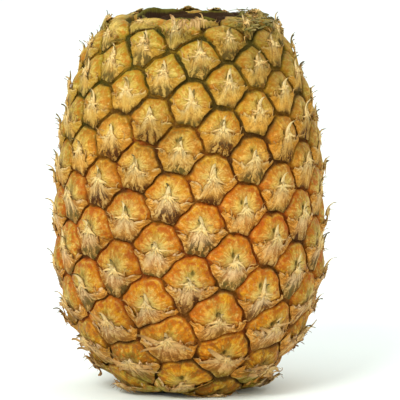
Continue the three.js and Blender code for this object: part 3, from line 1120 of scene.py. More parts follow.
@dataclass(frozen=True)
class RindFinish:
    """The waxy rind: amber lobes, dark fine grooves and a pale streaky middle to each eye.

    Its ramps over x and height are in metres; those over an eye are in shares of its disc.
    """

    name: str = "waxy_rind"
    roughness: float = 0.5
    pale: Colour = srgb("E8CB76")
    lemon: Colour = srgb("DCA216")
    flame: Colour = srgb("C86A08")
    rim: Colour = srgb("A24806")
    rim_upper: Colour = srgb("9A7614")
    rim_lower: Colour = srgb("6E3A0C")
    rust_upper: Colour = srgb("B0640C")
    sap: Colour = srgb("B09C34")
    olive: Colour = srgb("6B5E14")
    green: Colour = srgb("7D8A1E")
    rim_olive: Colour = srgb("747018")
    pit: Colour = srgb("463A0E")
    dark_olive: Colour = srgb("2A2E0A")
    corner_shade_brown: Colour = srgb("42200A")
    seam: Colour = srgb("481604")
    crease: Colour = srgb("2C2406")
    shade: Colour = srgb("7A4A0E")
    glow: Colour = (1.12, 0.84, 0.34, 1.0)
    gloom: Colour = srgb("958100")

    def make(self, groups: SharedGroups) -> Material:
        """Builds the material.

        Args:
            groups: The shared effects.

        Returns:
            The material.
        """
        f = Finish(self.name, groups, self.roughness)
        x, y, _ = f.uv("EyePlace")
        tone, gap, _ = f.uv("EyeMarks")
        # The EyeShade map holds the painted shade under each bract's edge and in each pit.
        lip, pit, _ = f.uv("EyeShade")
        out = f.hypot(x, y)
        bearing = f.math("ARCTAN2", y, x)
        width = abs(x)
        ripe = f.group(groups.ripeness, {"Vector": f.place})
        blotch, speck = f.mottle(210.0, 1000.0)
        rays = f.streaks(bearing, out * 2.6, tone, 5.5)
        broad = f.streaks(bearing, out * 1.1, tone, 2.3)
        warm = 1.0 - ripe["Green"]
        f.coat = f.mix(tone.ramp(0.0, 1.0, 0.0, 0.6), ripe["Pad"], self.shade)
        f.paint(blotch.ramp(0.2, 1.0, 0.1, 0.75), self.lemon)
        flank = width.ramp(0.2, 0.75) * rays.ramp(0.0, 0.8, 0.25, 0.95)
        flank *= tone.ramp(0.0, 1.0, 0.45, 1.0)
        f.paint(flank * warm.ramp(0.0, 1.0, 0.3, 1.0), self.flame)
        leaf = ripe["Green"] * blotch.ramp(0.25, 0.7)
        f.paint(leaf * 0.65, self.green)
        height = f.z
        rim_green = height.ramp(0.1735, 0.1785) * blotch.ramp(0.0, 0.8, 0.45, 0.95)
        f.paint(rim_green, self.rim_olive)
        flanks = abs(f.x)
        # Olive and sap colour over the left and right sides.
        sides_olive = flanks.ramp(0.038, 0.062) * blotch.ramp(0.1, 0.7, 0.25, 0.75)
        f.paint(sides_olive, f.mix(speck, self.olive, self.sap))
        span = height.ramp(0.035, 0.13, 0.52, 0.76)
        middle = 1.0 - (out - 0.1) / span
        middle = middle.at_least(0.0).at_most(1.0)
        middle *= rays.ramp(0.2, 0.8, 0.5, 1.05)
        middle = middle.at_least(out.ramp(0.46, 0.2, 0.0, 0.95))
        f.paint(middle, f.mix(height.ramp(0.1, 0.13, 0.0, 0.3), self.pale, self.lemon))
        scar = f.noise(f.place, 330.0, 3.0, 0.6)
        rough = height.ramp(0.045, 0.022) * f.noise(f.place, 110.0, 2.0).ramp(0.42, 0.6)
        aside = f.x.ramp(-0.005, -0.03, 0.3, 0.75)
        f.paint(rough * aside, f.mix(scar.ramp(0.44, 0.56), self.sap, self.shade))
        clot = f.noise(f.place, 520.0, 3.0, 0.65)
        stain = clot.ramp(0.46, 0.36) * out.ramp(0.1, 0.5, 0.3, 0.7)
        deep = height.ramp(0.05, 0.025, 0.22, 0.75)
        valley = broad.ramp(0.46, 0.26) * out.ramp(0.25, 0.55)
        f.paint(valley * deep, f.mix(blotch, self.shade, self.rim_lower))
        ridge = broad.ramp(0.6, 0.82) * out.ramp(0.15, 0.4)
        light = f.mix(height.ramp(0.055, 0.03, 0.0, 0.85), self.pale, self.lemon)
        f.paint(ridge * (deep * 0.7), light)
        f.paint(stain, f.mix(height.ramp(0.09, 0.122), self.flame, self.rust_upper))
        f.paint(clot.ramp(0.54, 0.68, 0.0, 0.45), self.pale)
        rust = f.mix(height.ramp(0.09, 0.122), self.rim, self.rust_upper)
        rust = f.mix(height.ramp(0.06, 0.03, 0.0, 0.8), rust, self.rust_upper)
        line = rays.ramp(0.34, 0.16, 0.0, 0.3) * out.ramp(0.2, 0.4)
        f.paint(line, rust)
        scald = scar.ramp(0.5, 0.6) * out.ramp(0.35, 0.75)
        f.paint(scald * 0.8, rust)
        core = out.ramp(0.65, 0.25) * scar.ramp(0.52, 0.4)
        f.paint(core * 0.2, self.sap)
        fleck = speck.ramp(0.5, 0.95) * rays.ramp(0.7, 0.2)
        f.paint(fleck * 0.35, self.olive)
        # Painted shade in olive down the valley between the two lobes, above the eye's centre.
        lobe_valley_shade = width.ramp(0.34, 0.0) * y.ramp(0.0, 0.2)
        lobe_valley_shade *= y.ramp(0.8, 0.35)
        f.paint(lobe_valley_shade * blotch.ramp(0.35, 0.8, 0.0, 0.45), self.olive)
        arch = y.ramp(-0.1, 0.35) * scar.ramp(0.36, 0.55, 0.35, 1.0)
        rim = f.mix(height.ramp(0.055, 0.02), self.rim, self.rim_lower)
        shoulder = height.ramp(0.1, 0.12) * height.ramp(0.15, 0.135)
        rim = f.mix(shoulder * 0.75, rim, self.olive)
        rim = f.mix(height.ramp(0.13, 0.155), rim, self.rim_upper)
        bruise = gap.ramp(0.3, 0.5) * gap.ramp(0.95, 0.6) * arch
        f.paint(bruise * speck.ramp(0.0, 1.0, 0.25, 0.8), rim)
        # Painted highlight: a pale line just inside the groove along the top of each arch, where light would
        # catch its rounded edge.
        painted_arch_highlight = gap.ramp(0.1, 0.26) * gap.ramp(0.48, 0.3) * arch
        f.paint(painted_arch_highlight * blotch.ramp(0.4, 1.0, 0.0, 0.3), self.pale)
        edge = gap.ramp(0.4, 0.15) * speck.ramp(0.0, 1.0, 0.5, 0.95)
        f.paint(edge, rim)
        # Painted shade on the pad under the bract and just above its edge.
        f.paint(lip * 0.3, self.shade)
        waver = (scar - 0.5) * 0.5
        waver += (blotch - 0.5) * 0.1
        share = y.ramp(-0.7, -0.2, 0.6, 1.0)
        ink = (gap + waver).ramp(0.17, 0.05) * share
        f.paint(ink, ripe["Groove"])
        seam = (gap + waver).ramp(0.12, 0.0, 0.0, 0.65) * share
        f.paint(seam, f.mix(ripe["Green"], self.seam, self.crease))
        # Painted shade in patches beside the grooves, spreading further on the upper right side and near the
        # bottom: brown lower down, dark olive where the rind is green.
        corner_shade_spread = f.x.ramp(-0.05, 0.05, 0.4, 1.0) * height.ramp(0.09, 0.14)
        corner_shade_spread = corner_shade_spread.at_least(height.ramp(0.045, 0.02, 0.0, 0.8))
        corner_shade_spread = f.noise(f.place, 75.0, 2.0) + corner_shade_spread * 0.17
        corner_shade = gap.ramp(0.55, 0.1) * corner_shade_spread.ramp(0.53, 0.68)
        shadow = f.mix(ripe["Green"], self.corner_shade_brown, self.dark_olive)
        f.paint(corner_shade * 0.85, shadow)
        # Painted shade in olive over the upper right side, the side turned from the key lamp.
        far = f.x.ramp(0.008, 0.04, 0.0, 0.3) * height.ramp(0.13, 0.16)
        f.paint(far, self.olive)
        f.paint(ripe["Glow"], self.glow, "MULTIPLY")
        # Painted shade in the darker patches.
        f.paint(ripe["Painted Shade"], self.gloom, "MULTIPLY")
        # Dark olive in the small pit beside the spine: its own dark colour, deepened with painted shade in
        # the hollow.
        f.paint(pit.ramp(0.2, 0.8, 0.0, 0.8), self.pit)
        f.paint(speck.ramp(0.0, 0.6, 0.18, 0.0), self.olive)
        f.paint(speck.ramp(0.6, 1.0, 0.0, 0.06), self.pale)
        relief = rays * 0.45 + speck * 0.3
        roughness = gap.ramp(0.5, 0.1, 0.46, 0.75) + speck * 0.14
        return f.done(roughness, relief, depth=0.0005, strength=0.9, specular=0.08)


@dataclass(frozen=True)
class BractFinish:
    """Dry papery bracts: cream at the root of the spine, pinkish tan beyond, dusky at the base."""

    name: str = "papery_bract"
    roughness: float = 0.75
    heart: Colour = srgb("EACF92")
    dun: Colour = srgb("DAB080")
    cream: Colour = srgb("E2C27C")
    blush: Colour = srgb("ECC694")
    tan: Colour = srgb("D59A4E")
    wing: Colour = srgb("F4A842")
    honey: Colour = srgb("DEAA50")
    amber: Colour = srgb("D8A03A")
    rose: Colour = srgb("C88438")
    sprout: Colour = srgb("7C8A16")
    dusk: Colour = srgb("4E2C10")
    dark_olive: Colour = srgb("665324")
    margin: Colour = srgb("8E5416")
    green: Colour = srgb("BEA044")
    leaf: Colour = srgb("4E4A1C")
    straw: Colour = srgb("BDAE6C")
    glow: Colour = (1.12, 0.84, 0.34, 1.0)
    gloom: Colour = srgb("958100")

    def make(self, groups: SharedGroups) -> Material:
        """Builds the material.

        Args:
            groups: The shared effects.

        Returns:
            The material.
        """
        f = Finish(self.name, groups, self.roughness)
        across, along, _ = f.uv("EyePlace")
        tone, aged, _ = f.uv("EyeMarks")
        strength, hue, _ = f.uv("EyeShade")
        width = abs(across)
        ripe = f.group(groups.ripeness, {"Vector": f.place})
        blotch, speck = f.mottle(190.0, 1200.0)
        splay = across * along.ramp(0.0, 1.0, 0.75, 1.25)
        scar = f.noise(f.place, 420.0, 3.0, 0.6)
        splay += (scar - 0.5) * 0.28
        streak = f.streaks(splay, along * 1.6, tone, 11.0)
        blend = blotch.ramp(0.0, 1.0, 0.0, 0.75) + width.ramp(0.85, 0.1, -0.35, 0.4)
        height = f.z
        upper = height.ramp(0.06, 0.14)
        crest = height.ramp(0.166, 0.174)
        f.coat = f.mix(blend, f.mix(upper, self.rose, self.amber), f.mix(upper, self.tan, self.honey))
        # Brighter orange over the bract's sides: their own orange, lifted further by painted light where they
        # lie in shade beside the pad.
        wing = width.ramp(0.35, 0.8) * scar.ramp(0.4, 0.55, 0.35, 0.8)
        f.paint(wing, f.mix(upper, self.wing, f.mix(0.4, ripe["Pad"], self.wing)))
        foot = height.ramp(0.018, 0.008) * blotch.ramp(0.15, 0.45)
        f.paint(foot * 0.8, self.sprout)
        leaf = ripe["Green"] * blotch.ramp(0.2, 0.9, 0.2, 0.8)
        leaf = leaf.at_least(crest * blotch.ramp(0.1, 0.8, 0.5, 0.9))
        f.paint(leaf, self.green)
        plain = upper.ramp(0.3, 1.0, 1.0, 0.4) - crest * 0.25
        dark = streak.ramp(0.5, 0.1) * (plain * 0.7)
        f.paint(dark, self.margin)
        light = streak.ramp(0.62, 0.92) * (plain * 0.6)
        f.paint(light, self.cream)
        reach = along + strength.ramp(0.0, 1.0, 0.2, -0.3)
        dusk = reach.ramp(0.5, 0.1) * streak.ramp(0.2, 0.9, 1.0, 0.3)
        dusk *= width.ramp(0.7, 0.25, 0.1, 1.1)
        dusk *= height.ramp(0.03, 0.055, 0.45, 1.0)
        f.paint(dusk, f.mix(hue.ramp(0.45, 0.7).at_least(ripe["Green"]), self.dusk, self.dark_olive))
        root = width.ramp(0.7, 0.05) * along.ramp(0.2, 0.75)
        root *= streak.ramp(0.1, 0.8, 0.35, 1.0)
        hem = along.ramp(0.62, 0.95) * blotch.ramp(0.25, 0.75, 0.0, 0.85)
        root *= upper.ramp(0.0, 1.0, 1.0, 0.45)
        pale = root.at_least(hem) * aged.ramp(0.0, 1.0, 1.0, 0.5)
        pale *= crest.ramp(0.0, 1.0, 1.0, 0.5)
        f.paint(pale, f.mix(upper, self.blush, self.cream))
        heart = width.ramp(0.4, 0.08) * along.ramp(0.55, 0.88)
        heart *= upper.ramp(0.0, 1.0, 1.0, 0.75)
        f.paint(heart, f.mix(height.ramp(0.08, 0.03, 0.0, 0.4), self.heart, self.dun))
        strip = f.mix(streak.ramp(0.2, 0.9), self.leaf, self.straw)
        f.paint(aged * 0.85, strip)
        grime = scar.ramp(0.48, 0.36) * speck.ramp(0.2, 0.8, 0.55, 0.1)
        f.paint(ripe["Glow"], self.glow, "MULTIPLY")
        # Painted shade in the darker patches.
        f.paint(ripe["Painted Shade"], self.gloom, "MULTIPLY")
        f.paint(grime, self.margin)
        rough = streak.ramp(0.0, 1.0, 0.65, 0.85)
        return f.done(rough, streak + speck * 0.4, depth=0.0006, strength=0.9, specular=0.06)


@dataclass(frozen=True)
class SpineFinish:
    """The spine of a bract: tan at its root, cream up its length, brown at the very tip."""

    name: str
    root: Colour
    shaft: Colour
    tip: Colour
    tip_from: float = 0.9
    lower_tint: Colour = srgb("E0C4AC")
    roughness: float = 0.6

    def make(self, groups: SharedGroups) -> Material:
        """Builds the material.

        Args:
            groups: The shared effects.

        Returns:
            The material.
        """
        f = Finish(self.name, groups, self.roughness)
        along, tone = f.attribute("along"), f.attribute("tone")
        blotch, speck = f.mottle(260.0, 1800.0)
        f.coat = f.mix(along.ramp(0.0, 0.4), self.root, self.shaft)
        f.paint(along.ramp(self.tip_from, 1.0), self.tip)
        f.paint(speck * tone.ramp(0.0, 1.0, 0.1, 0.6), self.root)
        # Darker and pinker towards the bottom of the fruit.
        f.paint(f.z.ramp(0.08, 0.03, 0.0, 0.4), self.lower_tint, "MULTIPLY")
        rough = blotch.ramp(0.0, 1.0, 0.5, 0.75)
        return f.done(rough, speck, depth=0.0002, strength=0.6, specular=0.15)


@dataclass(frozen=True)
class LeafFinish:
    """Cut leaf bases of the crown: olive, paler at the foot, brown where they were cut, and dark with painted
    shade down in the crater.
    """

    name: str = "crown_leaf_base"
    roughness: float = 0.5
    olive: Colour = srgb("726C1C")
    deep: Colour = srgb("4A440E")
    pale: Colour = srgb("A39A4C")
    cut: Colour = srgb("331D12")

    def make(self, groups: SharedGroups) -> Material:
        """Builds the material.

        Args:
            groups: The shared effects.

        Returns:
            The material.
        """
        f = Finish(self.name, groups, self.roughness)
        across, along, tone = (f.attribute(name) for name in ("across", "along", "tone"))
        blotch, _ = f.mottle(120.0, 900.0)
        streak = f.streaks(across, along, tone, 26.0)
        f.coat = f.mix(blotch * 0.5, self.deep, self.olive)
        f.paint(streak * 0.15, self.pale)
        # Dark brown below the rim and over the inner leaf bases: the brown of their cut, dried ends, with
        # painted shade down in the crater.
        wave = f.noise(f.place, 110.0, 3.0) * 0.006
        deep = (f.z + wave).ramp(0.1814, 0.183, 0.92, 0.0)
        f.paint(f.hypot(f.x, f.y).ramp(0.021, 0.0225, 0.9, 0.0).at_least(deep), self.cut)
        rough = along.ramp(0.7, 1.0, 0.55, 0.85)
        return f.done(rough, streak, depth=0.0003, strength=0.7, specular=0.1)


@dataclass(frozen=True)
class CutFleshFinish:
    """A dried cut end of stem: pale, fibrous, and darker at its rim."""

    name: str
    pale: Colour
    brown: Colour
    rim: Colour
    reach: float
    roughness: float = 0.85

    def make(self, groups: SharedGroups) -> Material:
        """Builds the material.

        Args:
            groups: The shared effects.

        Returns:
            The material.
        """
        f = Finish(self.name, groups, self.roughness)
        blotch, speck = f.mottle(240.0, 1500.0)
        f.coat = f.mix(blotch, self.brown, self.pale)
        f.paint(speck * 0.5, self.brown)
        f.paint(f.hypot(f.x, f.y).ramp(0.7 * self.reach, self.reach), self.rim)
        return f.done(speck.ramp(0.0, 1.0, 0.7, 0.95), speck, depth=0.0005, strength=0.8)


@dataclass(frozen=True)
class FloorFinish:
    """A plain pale floor."""

    name: str = "pale_floor"
    colour: Colour = srgb("F1FBF6")

    def make(self) -> Material:
        """Builds the material, with a trace of unevenness in its tone.

        Returns:
            The material.
        """
        material = bpy.data.materials.new(self.name)
        material.use_nodes = True
        tree = NodeTree(material.node_tree)
        place = tree.node("ShaderNodeTexCoord", output="Object")
        shade = tree.noise(place, 2.0).ramp(0.3, 0.7, 0.0, 0.02)
        colour = tree.mix(shade, self.colour, srgb("ECF6F1"))
        shader = material.node_tree.nodes["Principled BSDF"]
        for key, value in (("Base Color", colour), ("Roughness", 0.9), ("Specular IOR Level", 0.1)):
            tree.feed(shader.inputs[key], value)
        return material


# ---------------------------------------------------------------- geometry node trees


def bake_tree(
    name: str, source: Object, tree: Tree, values: dict[str, Any]
) -> Object:
    """Runs a Geometry Nodes tree on an object, and keeps the result as a plain mesh.

    Args:
        name: The name of the new object.
        source: The object that the tree starts from, which is removed.
        tree: The tree.
        values: Named inputs of the tree to their values.

    Returns:
        The new object, with the tree's mesh and no modifier.
    """
    modifier = source.modifiers.new("shape", "NODES")
    modifier.node_group = tree
    for item in tree.interface.items_tree:
        if item.in_out == "INPUT" and item.name in values:
            modifier[item.identifier] = values[item.name]
    graph = bpy.context.evaluated_depsgraph_get()
    shaped = source.evaluated_get(graph)
    mesh = bpy.data.meshes.new_from_object(shaped, preserve_all_data_layers=True, depsgraph=graph)
    mesh.name = name
    made = placed(name, mesh)
    bpy.data.objects.remove(source)
    return made


def seed_points(name: str, places: Array, values: dict[str, Array]) -> Object:
    """Makes a cloud of bare vertices with named attributes, for a tree to grow things on.

    Args:
        name: The object's name.
        places: The points, in metres.
        values: Attribute name to one number or one vector for each point.

    Returns:
        The object.
    """
    mesh = bpy.data.meshes.new(name)
    mesh.vertices.add(len(places))
    mesh.vertices.foreach_set("co", np.asarray(places, np.float32).ravel())
    for key, rows in values.items():
        rows = np.asarray(rows, np.float32)
        is_vector = rows.ndim == 2
        layer = mesh.attributes.new(key, "FLOAT_VECTOR" if is_vector else "FLOAT", "POINT")
        layer.data.foreach_set("vector" if is_vector else "value", rows.ravel())
    mesh.update()
    return placed(name, mesh)


class GeometryTree(GroupTree):
    """A Geometry Nodes group with the parts that every tree here has."""

    def __init__(self, name: str, inputs: dict[str, Any]) -> None:
        """Makes the group, with geometry and material sockets beside its own inputs."""
        common = {"Geometry": Socket.GEOMETRY, "Material": Socket.MATERIAL}
        super().__init__(name, "GeometryNodeTree", {**common, **inputs}, {"Geometry": Socket.GEOMETRY})

    def attribute(self, name: str, kind: str = "FLOAT") -> Value:
        """Reads a named attribute."""
        inputs = {"Name": name}
        return self.node("GeometryNodeInputNamedAttribute", inputs, output="Attribute", data_type=kind)

    def store(self, geometry: Any, name: str, value: Any) -> Value:
        """Stores a number on each point under a name."""
        inputs = {"Geometry": geometry, "Name": name, "Value": value}
        return self.node("GeometryNodeStoreNamedAttribute", inputs, data_type="FLOAT", domain="POINT")

    def grown(self, instance: Value) -> Value:
        """Sets one instance on each point that comes in, as real geometry."""
        inputs = {"Points": self["Geometry"], "Instance": instance}
        spread = self.node("GeometryNodeInstanceOnPoints", inputs)
        return self.node("GeometryNodeRealizeInstances", {"Geometry": spread})

    def moved(self, geometry: Value, input_name: str, value: Value) -> Value:
        """Moves points by an Offset, or to a Position."""
        return self.node("GeometryNodeSetPosition", {"Geometry": geometry, input_name: value})

    def finished(self, geometry: Value) -> Tree:
        """Ends the tree: smooth faces, real geometry and the material.

        Args:
            geometry: What the tree has made.

        Returns:
            The tree.
        """
        smooth = self.node("GeometryNodeSetShadeSmooth", {"Geometry": geometry})
        real = self.node("GeometryNodeRealizeInstances", {"Geometry": smooth})
        inputs = {"Geometry": real, "Material": self["Material"]}
        return self.done(Geometry=self.node("GeometryNodeSetMaterial", inputs))


def strand_tree() -> Tree:
    """Grows a tapered, bent and curled strand from each point.

    The points carry the vectors up, out and side, and the numbers reach, rise, lean, curl, turns,
    phase, thick and tone. Lengths are in metres.

    Returns:
        The tree, with its counts and taper as named inputs.
    """
    numbers = {"Taper": 0.8, "Tip": 0.12, "Flat": 1.0, "Ground": 0.0001, "Give": 0.0003}
    g = GeometryTree("grow_strands", {"Steps": 12, "Sides": 6, **numbers})
    stub = 0.001
    line = g.node("GeometryNodeCurvePrimitiveLine", {"Start": (0, 0, 0), "End": (0, 0, stub)})
    curves = g.grown(g.node("GeometryNodeResampleCurve", {"Curve": line, "Count": g["Steps"]}))
    along = g.node("GeometryNodeSplineParameter", output="Factor")
    square = along * along
    wave = along * g.attribute("turns") * TURN + g.attribute("phase")
    swing = g.attribute("curl") * square
    moves = {
        "up": g.attribute("reach") * g.math("SINE", along * (math.pi * 0.5)),
        "out": g.attribute("rise") * square + swing * g.math("SINE", wave),
        "side": g.attribute("lean") * square + swing * g.math("COSINE", wave),
    }
    move: Any = (0.0, 0.0, 0.0)
    for name, size in moves.items():
        move = g.vector("ADD", move, g.scaled(g.attribute(name, "FLOAT_VECTOR"), size))
    move = g.vector("SUBTRACT", move, g.combine(z=along * stub))
    curves = g.store(g.moved(curves, "Offset", move), "along", along)
    inputs = {"Curve": curves, "Normal": g.attribute("out", "FLOAT_VECTOR")}
    curves = g.node("GeometryNodeSetCurveNormal", inputs, mode="FREE")
    slim = (1.0 - along) ** g["Taper"]
    slim = slim * (1.0 - g["Tip"]) + g["Tip"]
    ring = g.node("GeometryNodeCurvePrimitiveCircle", {"Resolution": g["Sides"], "Radius": 1.0})
    ring = g.node("GeometryNodeTransform", {"Geometry": ring, "Scale": g.combine(g["Flat"], 1.0, 1.0)})
    inputs = {"Curve": curves, "Profile Curve": ring, "Scale": slim * g.attribute("thick"), "Fill Caps": True}
    tubes = g.node("GeometryNodeCurveToMesh", inputs)
    x, y, z = g.separate(g.node("GeometryNodeInputPosition"))
    over = z - g["Ground"]
    above = g["Ground"] + (over + g.hypot(over, g["Give"])) * 0.5
    return g.finished(g.moved(tubes, "Position", g.combine(x, y, above)))


def relief_tree() -> Tree:
    """Moves a surface along its normal by two sizes of noise, fading out near the floor.

    Returns:
        The tree, with the sizes and heights of the relief as named inputs, in metres.
    """
    sizes = {"Lump Scale": 260.0, "Lump Height": 0.0002, "Grain Scale": 900.0, "Grain Height": 0.00008}
    g = GeometryTree("fine_relief", sizes)
    place = g.node("GeometryNodeInputPosition")
    lump, grain = (
        (g.noise(place, g[f"{kind} Scale"], detail) - 0.5) * 2.0 * g[f"{kind} Height"]
        for kind, detail in (("Lump", 2.0), ("Grain", 1.0))
    )
    above = g.separate(place)[2].ramp(0.0004, 0.002)
    offset = g.scaled(g.node("GeometryNodeInputNormal"), (lump + grain) * above)
    return g.finished(g.moved(g["Geometry"], "Offset", offset))


def leaf_base_tree() -> Tree:
    """Winds curved sheets round the axis, one for each point, as the bases of cut leaves.

    The points carry the numbers ring, heading, spread, foot, crest, thick, phase and tone, with
    lengths in metres and angles in radians.

    Returns:
        The tree, with the fineness of the sheets and the way they lean as named inputs.
    """
    g = GeometryTree("wind_leaf_bases", {"Across": 30, "Upward": 12, "Lean": 0.001, "Rag": 0.0008})
    counts = {"Vertices X": g["Across"], "Vertices Y": 3, "Vertices Z": g["Upward"]}
    block = g.node("GeometryNodeMeshCube", {"Size": (1.0, 1.0, 1.0), **counts}, output="Mesh")
    u, face, v = g.separate(g.node("GeometryNodeInputPosition"))
    for name, value in (("across", u), ("layer", face), ("along", v + 0.5)):
        block = g.store(block, name, value)
    sheets = g.grown(block)
    across = g.attribute("across") * 2.0
    along = g.attribute("along")
    edge = across * across
    thin = (1.0 - edge * 0.75) * (1.0 - along * 0.35)
    waver = g.noise(g.combine(across * 2.6, g.attribute("phase")), 1.0, 3.0)
    rag = (waver - 0.5) * (g["Rag"] * 6.0)
    crest = g.attribute("crest") + rag - edge * 0.0026
    height = g.attribute("foot") + along * (crest - g.attribute("foot"))
    lean = g["Lean"] * (along * along)
    half = g.attribute("layer") * g.attribute("thick") * thin
    ripple = g.math("SINE", across * 21.0) * 0.00012
    out = g.attribute("ring") + lean + (half + ripple)
    turn = g.attribute("heading") + across * g.attribute("spread")
    place = g.combine(out * g.math("COSINE", turn), out * g.math("SINE", turn), height)
    return g.finished(g.moved(sheets, "Position", place))


# ---------------------------------------------------------------- the sub-assemblies


@dataclass
class Rind:
    """The fruit's skin: every eye's pad, with the grooves between, as one closed surface."""

    lattice: Lattice
    eyes: dict[int, Eye]
    rings: int = 19
    blank_rings: int = 7
    crowding: float = 1.35
    gap_unit: float = 4.0
    socket_radius: float = 27.2
    socket_floor: float = 168.5
    socket_wall: float = 2.4
    ground: float = 0.5
    relief: dict[str, float] = field(default_factory=lambda: {
        "Lump Scale": 300.0, "Lump Height": 0.0004, "Grain Scale": 900.0, "Grain Height": 0.00014})

    def build(self, finish: Material) -> Object:
        """Builds the skin and gives it its fine relief and finish.

        Args:
            finish: Its material.

        Returns:
            The object.
        """
        form = EyeForm()
        builder = SurfaceBuilder()
        shared = np.array(self.lattice.shared)
        builder.add_vertices(self._settle(self.lattice.skin.place(shared, -form.groove_depth)))
        for index, cell in enumerate(self.lattice.cells):
            self._add_patch(builder, cell, self.eyes.get(index))
        thing = builder.build("rind_coarse")
        return bake_tree("rind", thing, relief_tree(), {**self.relief, "Material": finish})

    def _add_patch(self, builder: SurfaceBuilder, cell: Cell, eye: Eye | None) -> None:
        """Adds one cell's rings of triangles, from its border to its centre.

        Args:
            builder: The surface that it goes in.
            cell: The cell.
            eye: The eye in it, or None where it is blank.
        """
        around = len(cell.ring)
        rings = self.blank_rings if eye is None else self.rings
        bearing = np.arctan2(cell.ring[:, 1], cell.ring[:, 0])
        shares = 1 - (np.arange(1, rings) / rings) ** self.crowding
        rim = polar(1.0, bearing)
        flat, disc = (
            np.concatenate([(shares[:, None, None] * border).reshape(-1, 2), [[0.0, 0.0]]])
            for border in (cell.ring, rim)
        )
        places = np.vstack([rim, disc])
        if eye is None:
            lift, gap = np.full(len(flat), -EyeForm().groove_depth), np.zeros(len(flat))
            tone, lip, pit = 0.5, np.zeros(len(flat) + around), np.zeros(len(flat) + around)
        else:
            lift, gap = eye.surface(flat, disc[:, 0], disc[:, 1])
            tone, lip, pit = eye.tone, eye.lip_shade(*places.T), eye.pit_shade(*places.T)
        points = self._settle(self.lattice.skin.place(cell.unflatten(flat), lift))
        first = builder.add_vertices(points)
        ids = np.concatenate([cell.ring_ids, np.arange(first, first + len(points))])
        gap_unit = self.gap_unit * (1 - 0.3 * (eye.high if eye else 0.0))
        gaps = np.minimum(np.concatenate([np.zeros(around), gap]) / gap_unit, 1.0)
        marks = np.stack([np.full(len(ids), tone), gaps], -1)
        shade = np.stack([lip, pit], -1)
        builder.add_triangles(ids, self._ring_triangles(around, rings), places, marks, shade)

    def _ring_triangles(self, around: int, rings: int) -> Array:
        """Triangles between the rings, and the fan in the middle, by place in the patch.

        Args:
            around: How many points each ring has.
            rings: How many rings there are.

        Returns:
            Rows of three places.
        """
        step = np.arange(around)
        after = (step + 1) % around
        rows = []
        for ring in range(rings - 1):
            outer, inner = ring * around, (ring + 1) * around
            rows.append(quads(outer + step, outer + after, inner + after, inner + step))
        last = (rings - 1) * around
        rows.append(np.stack([last + step, last + after, np.full(around, rings * around)], -1))
        return np.vstack(rows)

    def _settle(self, points: Array) -> Array:
        """Flattens the foot where it stands, and sinks the socket that the crown grew from.

        Args:
            points: Points in millimetres.

        Returns:
            The moved points.
        """
        points = points.copy()
        points[:, 2] = np.maximum(points[:, 2], self.ground)
        out = np.hypot(points[:, 0], points[:, 1])
        inside = smoothstep(out, self.socket_radius, self.socket_radius - self.socket_wall)
        points[:, 2] -= inside * np.maximum(points[:, 2] - self.socket_floor, 0.0)
        return points


